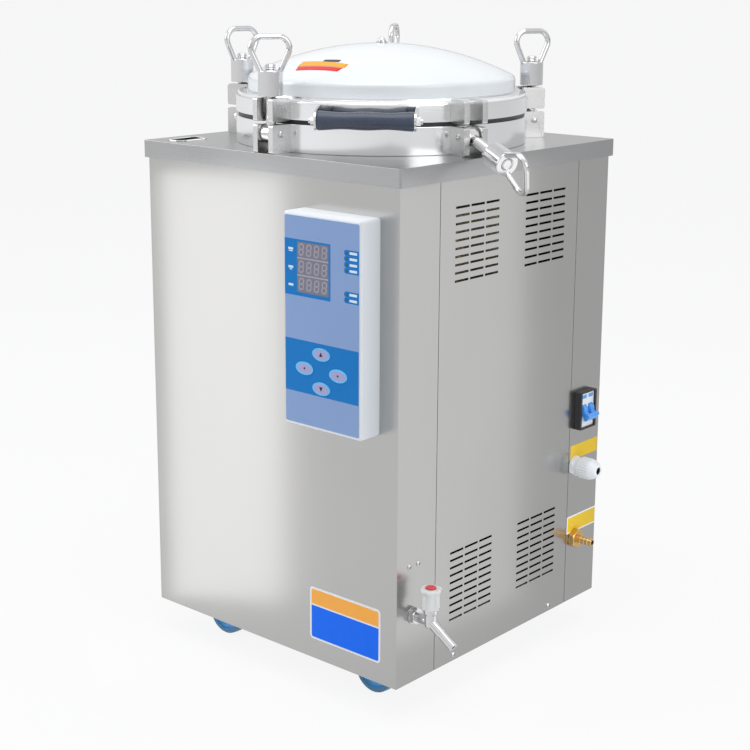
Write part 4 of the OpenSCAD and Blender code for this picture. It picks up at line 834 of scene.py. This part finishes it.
class STERILISER_OT_labels(MakePiece):
    """Plain coloured labels on the front and on the side"""

    bl_idname = "steriliser.labels"
    bl_label = "Labels"

    def make(self):
        prints = settings("steriliser_prints")
        white = printed("Label White", (0.86, 0.87, 0.88), 0.26)
        amber, blue = printed("Label Amber", prints.amber), printed("Label Blue", prints.blue)
        yellow = printed("Label Yellow", prints.yellow)
        x, z, w, h = 157.5, 28.5, 143.0, 85.0
        high, low = (3.5, 3.5, 0.1, 0.1), (0.1, 0.1, 3.5, 3.5)
        for name, (across, up), size, level, radius, material in (
            ("front_label", (x, z), (w, h), 0, 6.0, white),
            ("front_label_amber", (x, z + 27.0), (w - 7, 24.0), 1, high, amber),
            ("front_label_blue", (x, z - 13.5), (w - 7, 52.0), 1, low, blue),
            ("side_label_high", (219.0, 215.0), (78.0, 24.0), 0, 1.5, yellow),
            ("side_label_low", (218.5, 89.0), (85.0, 30.0), 0, 2.0, white),
            ("side_label_low_field", (218.5, 89.0), (80.0, 25.0), 1, 1.0, yellow),
        ):
            pad = placed(raised(outline(*size, radius, 8), LABEL_H, 0.05), (0, 0, LABEL_H * level))
            if name.startswith("front"):
                pad = placed(pad, (across, CAB_FRONT, up), FRONTWAYS)
            else:
                pad = placed(pad, (CAB_SIDE, across, up), SIDEWAYS)
            piece(name, [pad], "cabinet", material)


class STERILISER_OT_fittings(MakePiece):
    """Tap, breaker, cable gland and outlet on the side"""

    bl_idname = "steriliser.fittings"
    bl_label = "Side Fittings"

    def make(self):
        self.out = axes((1, 0, 0))
        # Near-black matte for tubes set inside the tap's and the outlet's bores: painted shade in the bores
        self.dark = moulded("Bore Painted Shade", (0.02, 0.02, 0.02), 0.6)
        self.tap()
        self.knob()
        self.outlet()
        self.gland()
        self.breaker()

    def on_side(self, y, z, *shapes):
        """Shapes turned to stand out of the side sheet at this place"""
        return [placed(s, (CAB_SIDE, y, z), self.out) for s in shapes]

    def hexagon(self, corner, thick):
        """Nut: smaller radius of the chamfered profile and the flats, corner cos 30 / cos(t mod 60 - 30)"""
        flat = corner * math.cos(math.pi / 6)
        low, high, ease = thick * 0.16, thick * 0.84, flat * 0.97
        corners = np.array([(0, 0), (ease, 0), (corner, low), (corner, high), (ease, thick), (0, thick)])

        def flats(r, t, h):
            return np.minimum(r, flat / np.cos((t % (math.pi / 3)) - math.pi / 6))

        between = np.linspace(corners[1:-2], corners[2:-1], 5)[:-1].transpose(1, 0, 2).reshape(-1, 2)
        return turned(np.concatenate([corners[:1], between, corners[-2:]]), 120, radius=flats)

    def tap(self):
        """Wall nut and tail along +X, an upright barrel with a collar, and a spout that leans down and out"""
        tail = turned([(0, 8), (7.5, 8), (7.5, TAP_REACH), (0, TAP_REACH)], 48)
        flange = turned(eased([(0, 0), (12.2, 0), (12.6, 1.2), (12.6, 2.4), (0, 2.4)], 0.5), 72)
        nut = placed(self.hexagon(13.5, 8.5), (0.8, 0, 1.6))
        side = self.on_side(TAP_Y, TAP_Z, tail, flange, nut)
        axis = (CAB_SIDE + TAP_REACH, TAP_Y, TAP_Z)
        barrel = [(0, -9.5), (6.5, -9.5), (8.9, -7), (9.5, -1), (9.5, 11), (11, 14.5), (11, 19.4), (10.2, 20),
                  (6, 20), (6, 34), (0, 34)]
        radii = (0, 1.5, 1.5, 3, 3, 1, 0.6, 0.3, 0.1, 0.1, 0)
        side.append(placed(turned(eased(barrel, radii), 72), axis))
        lean = math.radians(SPOUT_TILT)
        down = axes((math.cos(lean), 0, -math.sin(lean)))
        spout = [(3.5, 2), (8.0, 2), (8.0, 24), (7.0, 24.6), (7.0, 52), (3.5, 52)]
        ring = turned(eased(spout, (0.1, 0.1, 0.9, 0.5, 1.1, 0.6), 6, True), 64, True)
        side.append(placed(ring, axis, down))
        piece("tap_casting", side, "cabinet", polished_steel(), ("tap_body",))
        # Near-black tube over the spout's bore wall: painted shade inside the bore
        bore_shade_tube = turned([(3.55, 3), (3.55, 50), (3.2, 50), (3.2, 3)], 32, True)
        piece("tap_bore_painted_shade", [placed(bore_shade_tube, axis, down)], "cabinet", self.dark)

    def knob(self):
        """Profile radius times 1 + a cos 6 t: a is 0.085 along the grip and 0.055 at the crown"""
        profile = [(0, 0), (12.2, 0), (13, 0.8), (12.6, 22), (14.6, 25.5), (16, 28.4), (15.8, 31.2), (14, 32),
                   (9.2, 32), (8.9, 31.4), (0, 31.4)]
        curve = eased(profile, (0, 0.4, 0.6, 4, 1.2, 1, 0.8, 0.5, 0.2, 0.2, 0), 6)

        def lobes(r, t, h):
            share = np.clip((h - 22) / 6, 0, 1)
            grip = (1 - share) * 0.085 + share * 0.055
            return np.where(r > 9.3, r * (1 + grip * np.cos(6 * t)), r)

        shape = placed(turned(curve, 144, radius=lobes), (CAB_SIDE + TAP_REACH, TAP_Y, TAP_Z + 20.3))
        white = moulded("Knob White", (0.8, 0.8, 0.79), 0.2, 0.4)
        piece("tap_knob_grip", [shape], "knob", white, ("tap_knob",))
        dress("tap_cap", moulded("Cap Red", (0.78, 0.04, 0.06), 0.22, 0.4), 0.3)

    def outlet(self):
        """Hexagon and a tail with three barbs, each a cone that widens towards the wall"""
        tail = [(3.6, 2), (6.5, 2), (6.5, 17)]
        for k in range(3):
            tail += [(7.4, 17.3 + 7 * k), (6.6, 17.6 + 7 * k), (5.5, 23.8 + 7 * k)]
        tail += [(5.0, 38), (3.6, 38)]
        barbs = turned(eased(tail, 0.25, 3, True), 64, True)
        shapes = self.on_side(OUTLET_Y, OUTLET_Z, self.hexagon(17.0, 11.0), barbs)
        piece("outlet_tail", shapes, "cabinet", brass(), ("brass_outlet",))
        # Near-black tube over the outlet's bore wall: painted shade inside the bore
        bore_shade_tube = turned([(3.65, 8), (3.65, 37), (3.3, 37), (3.3, 8)], 32, True)
        piece("outlet_bore_painted_shade", self.on_side(OUTLET_Y, OUTLET_Z, bore_shade_tube), "cabinet", self.dark)

    def gland(self):
        """Hexagon, neck and a cap whose radius has 24 shallow ribs, and a black seal in the cap's mouth"""
        neck = turned([(0, 5), (15.6, 5), (15.6, 16), (0, 16)], 72)
        cap = [(6.1, 14.6), (16.6, 14.6), (17.8, 16.4), (17.8, 32), (15.6, 39), (11, 46.5), (9.6, 48),
               (6.6, 48), (6.1, 47)]
        curve = eased(cap, (0.3, 1, 1, 2.5, 4, 2, 0.8, 0.5, 0.3), 7, True)

        def ribs(r, t, h):
            live = np.clip((r - 16.2) / 1.4, 0, 1) * ((h > 17) & (h < 34))
            return r - 0.35 * live * (1 + np.cos(24 * t))

        cap = turned(curve, 192, True, ribs)
        shapes = self.on_side(GLAND_Y, GLAND_Z, self.hexagon(18.0, 7.0), neck, cap)
        white = moulded("Gland White", (0.8, 0.83, 0.86), 0.34)
        piece("gland_cap", shapes, "cabinet", white, ("cable_gland",))
        seal = eased([(4.9, 30), (6.2, 30), (6.2, 46.6), (4.9, 46.6)], 0.4, 4, True)
        black = rubber("Gland Seal", (0.015, 0.015, 0.018))
        shapes = self.on_side(GLAND_Y, GLAND_Z, turned(seal, 48, True))
        piece("gland_seal", shapes, "cabinet", black)

    def breaker(self):
        """Frame and body from the CAD; a lever with two discs and a bar, and two plain blue marks"""
        dress("breaker_frame", moulded("Bezel Black", (0.02, 0.02, 0.024), 0.42), 0.7)
        dress("breaker_body", moulded("Breaker White", (0.78, 0.8, 0.82), 0.4), 0.5)
        tilt = math.radians(TOGGLE_TILT)
        lever = axes((0, 1, 0), (math.cos(tilt), 0, -math.sin(tilt)))
        x, y, z = TOGGLE_PIVOT
        disc = turned(eased([(0, -5.6), (11, -5.6), (11, 5.6), (0, 5.6)], (0, 1.2, 1.2, 0), 6), 72)
        arm = placed(raised(outline(21, 7.4, 2.0), 11, 1.0), (10.8, 0, -5.5))
        shapes = [placed(s, (x, y + pole, z), lever) for pole in (-POLE_SPAN, POLE_SPAN) for s in (disc, arm)]
        bar = placed(raised(outline(7.6, 12.6, 3.0), 31.6, 1.4), (18.0, 0, -15.8))
        shapes.append(placed(bar, TOGGLE_PIVOT, lever))
        blue = moulded("Toggle Blue", (0.06, 0.32, 0.86), 0.3, 0.2)
        piece("breaker_lever", shapes, "toggle", blue, ("breaker_toggle",))
        mark = raised(outline(13.0, 6.0, 1.2, 6), 0.12, 0.04)
        marks = [placed(mark, (x + 6, y + pole, z + 23), SIDEWAYS) for pole in (-POLE_SPAN, POLE_SPAN)]
        piece("breaker_marks", marks, "cabinet", printed("Breaker Mark", (0.1, 0.36, 0.8)))


class STERILISER_OT_casters(MakePiece):
    """Casters with their tyres and discs"""

    bl_idname = "steriliser.casters"
    bl_label = "Casters"

    def make(self):
        dress("caster_plates", zinc_steel(), 0.4)
        # The tread's blue is the disc's blue at about half its brightness: painted shade on the tread
        shaded_tread_paint = rubber("Wheel Tread Painted Shade", (0.08, 0.25, 0.46), 0.4)
        disc = moulded("Wheel Blue", (0.1, 0.44, 0.88), 0.34, 0.2)
        half = WHEEL_W / 2
        tread = [(WHEEL_R - 9, -half + 1), (WHEEL_R - 1.5, -half), (WHEEL_R, 0), (WHEEL_R - 1.5, half),
                 (WHEEL_R - 9, half - 1)]
        tread = turned(eased(tread, (0.5, 3.2, 8, 3.2, 0.5), 9, True), 96, True)
        core = [(4.1, -half), (12.5, -half), (14, -9), (26, -8.5), (28.6, -half + 1.4), (28.6, half - 1.4),
                (26, 8.5), (14, 9), (12.5, half), (4.1, half)]
        core = turned(eased(core, 1.2, 6, True), 96, True)
        for i, (sx, sy) in enumerate(CASTER_SIGNS):
            number = str(i + 1)
            wheel = "wheel_" + number
            dress("caster_fork_" + number, zinc_steel(), 0.4)
            start, turn = (sx * WHEEL_X, sy * WHEEL_Y, AXLE_Z), axes((0, 1, 0))
            piece("caster_tread_painted_shade_" + number, [placed(tread, start, turn)], wheel, shaded_tread_paint,
                  ("caster_wheel_" + number,))
            piece("caster_disc_" + number, [placed(core, start, turn)], wheel, disc)


class STERILISER_OT_stage(MakePiece):
    """Floor, lamps, world and camera"""

    bl_idname = "steriliser.stage"
    bl_label = "Stage"

    def make(self):
        stage = settings("steriliser_stage")
        self.floor(stage)
        self.lamps(stage)
        self.world()
        self.camera(stage)
        bpy.context.scene.view_settings.view_transform = "Standard"

    def floor(self, stage):
        mesh = bpy.data.meshes.new("floor")
        corners = FLOOR_REACH * np.array([(-1, -1), (1, -1), (1, 1), (-1, 1)], float)
        mesh.from_pydata(np.column_stack([corners, np.full(4, stage.floor_z)]), [], [(0, 1, 2, 3)])
        obj = added("floor", mesh)
        mesh.materials.append(self.floor_white())

    def floor_white(self):
        """Pale floor with its shadow, near white to the camera and in metal, but greyer there at the back"""
        mat = bpy.data.materials.new("Studio Floor")
        mat.use_nodes = True
        tree = mat.node_tree
        tree.nodes.clear()
        path = wired(tree, "ShaderNodeLightPath").outputs
        place = wired(tree, "ShaderNodeTexCoord").outputs["Object"]
        heading = wired(tree, "ShaderNodeVectorMath", {0: place}, operation="NORMALIZE")
        back = wired(tree, "ShaderNodeVectorMath", {0: heading, 1: FLOOR_BACK}, operation="DOT_PRODUCT")
        tone = wired(tree, "ShaderNodeMapRange", {"Value": back.outputs["Value"], "From Min": -1, "To Min": 1,
                                                  "To Max": FLOOR_BACK_WHITE})
        level = wired(tree, "ShaderNodeMix", {"Factor": path["Is Glossy Ray"], "A": 1, "B": tone})
        white = wired(tree, "ShaderNodeEmission", {"Color": (1, 1, 1, 1), "Strength": level})
        paint = wired(tree, "ShaderNodeBsdfDiffuse", {"Color": (FLOOR_PAINT, FLOOR_PAINT, FLOOR_PAINT, 1)})
        ray = path["Is Camera Ray"]
        for name in ("Is Glossy Ray", "Is Transmission Ray"):
            ray = wired(tree, "ShaderNodeMath", {0: ray, 1: path[name]}, operation="MAXIMUM")
        share = wired(tree, "ShaderNodeMath", {0: ray, 1: FLOOR_SHARE}, operation="MULTIPLY")
        mix = wired(tree, "ShaderNodeMixShader", {0: share, 1: paint, 2: white})
        wired(tree, "ShaderNodeOutputMaterial", {"Surface": mix})
        return mat

    def lamps(self, stage):
        """Area lamps, each aimed at the cabinet's axis"""
        for name, place, size, watts, aim, spread in LAMPS:
            light = bpy.data.lights.new(name, "AREA")
            light.shape = "RECTANGLE"
            light.size, light.size_y = size
            light.energy = watts * stage.lamps
            light.spread = math.radians(spread)
            obj = added(name, light)
            stand(obj, axes(np.subtract(place, (0, 0, aim))), place)
            obj.visible_camera = False

    def world(self):
        """White for the camera; a slow pattern of greys for reflections; a plain level for the rest"""
        world = bpy.data.worlds.new("Studio")
        bpy.context.scene.world = world
        world.use_nodes = True
        tree = world.node_tree
        tree.nodes.clear()
        path = wired(tree, "ShaderNodeLightPath").outputs
        place = wired(tree, "ShaderNodeTexCoord").outputs["Generated"]
        height = wired(tree, "ShaderNodeSeparateXYZ", {0: place}).outputs["Z"]
        rise = wired(tree, "ShaderNodeMapRange", {"Value": height, "From Min": -1})
        level = wired(tree, "ShaderNodeValToRGB", {0: rise})
        stops = level.color_ramp.elements
        while len(stops) < len(SKY):
            stops.new(0.5)
        for stop, (position, value) in zip(stops, SKY):
            stop.position = position
            stop.color = (value, value, value, 1)
        plain = wired(tree, "ShaderNodeBackground", {"Color": SKY_LIGHT, "Strength": SKY_POWER})
        shiny = wired(tree, "ShaderNodeBackground", {"Color": level})
        white = wired(tree, "ShaderNodeBackground", {"Color": (1, 1, 1, 1)})
        first = wired(tree, "ShaderNodeMixShader", {0: path["Is Glossy Ray"], 1: plain, 2: shiny})
        seen = wired(tree, "ShaderNodeMath", {0: path["Is Camera Ray"], 1: path["Is Transmission Ray"]},
                     operation="MAXIMUM")
        second = wired(tree, "ShaderNodeMixShader", {0: seen, 1: first, 2: white})
        wired(tree, "ShaderNodeOutputWorld", {"Surface": second})

    def camera(self, stage):
        """Camera at the photograph's view, from the fit to the cabinet's corners"""
        a, e = stage.yaw, stage.pitch
        back = np.array([math.sin(a) * math.cos(e), -math.cos(a) * math.cos(e), math.sin(e)])
        right = np.array([math.cos(a), math.sin(a), 0.0])
        up = np.cross(back, right)
        side = right * math.cos(ROLL) + up * math.sin(ROLL)
        up = up * math.cos(ROLL) - right * math.sin(ROLL)
        view = bpy.data.cameras.new("Photograph")
        view.sensor_width = 36
        view.lens = stage.lens
        view.shift_y = SHIFT_UP
        obj = added("Photograph", view)
        place = right * AIM_ACROSS + [0, 0, AIM_Z] + back * stage.distance
        stand(obj, np.stack([side, up, back], 1), place)
        bpy.context.scene.camera = obj


class STERILISER_PT_tools(bpy.types.Panel):
    """Lists the operators in the order in which they are run."""

    bl_label = "Steriliser"
    bl_idname = "STERILISER_PT_tools"
    bl_space_type = "VIEW_3D"
    bl_region_type = "UI"
    bl_category = "Steriliser"

    def draw(self, context):
        for operator in OPERATORS:
            self.layout.operator(operator.bl_idname)
        for name in SETTINGS:
            box = self.layout.box()
            group = getattr(context.scene, name)
            for key in group.bl_rna.properties.keys():
                if key not in ("rna_type", "name"):
                    box.prop(group, key)


OPERATORS = (
    STERILISER_OT_stage,
    STERILISER_OT_cabinet,
    STERILISER_OT_vessel,
    STERILISER_OT_lid,
    STERILISER_OT_clamps,
    STERILISER_OT_panel,
    STERILISER_OT_labels,
    STERILISER_OT_fittings,
    STERILISER_OT_casters,
)
SETTINGS = {
    "steriliser_clamps": ClampSettings,
    "steriliser_prints": PrintSettings,
    "steriliser_stage": StageSettings,
}


def register():
    for kind in list(SETTINGS.values()) + list(OPERATORS) + [STERILISER_PT_tools]:
        bpy.utils.register_class(kind)
    for name, kind in SETTINGS.items():
        setattr(bpy.types.Scene, name, bpy.props.PointerProperty(type=kind))


def unregister():
    for name in SETTINGS:
        delattr(bpy.types.Scene, name)
    for kind in [STERILISER_PT_tools] + list(reversed(OPERATORS)) + list(SETTINGS.values()):
        bpy.utils.unregister_class(kind)


def main():
    """Runs the operators in order."""
    register()
    for operator in OPERATORS:
        group, name = operator.bl_idname.split(".")
        getattr(getattr(bpy.ops, group), name)()


if __name__ == "__main__":
    main()
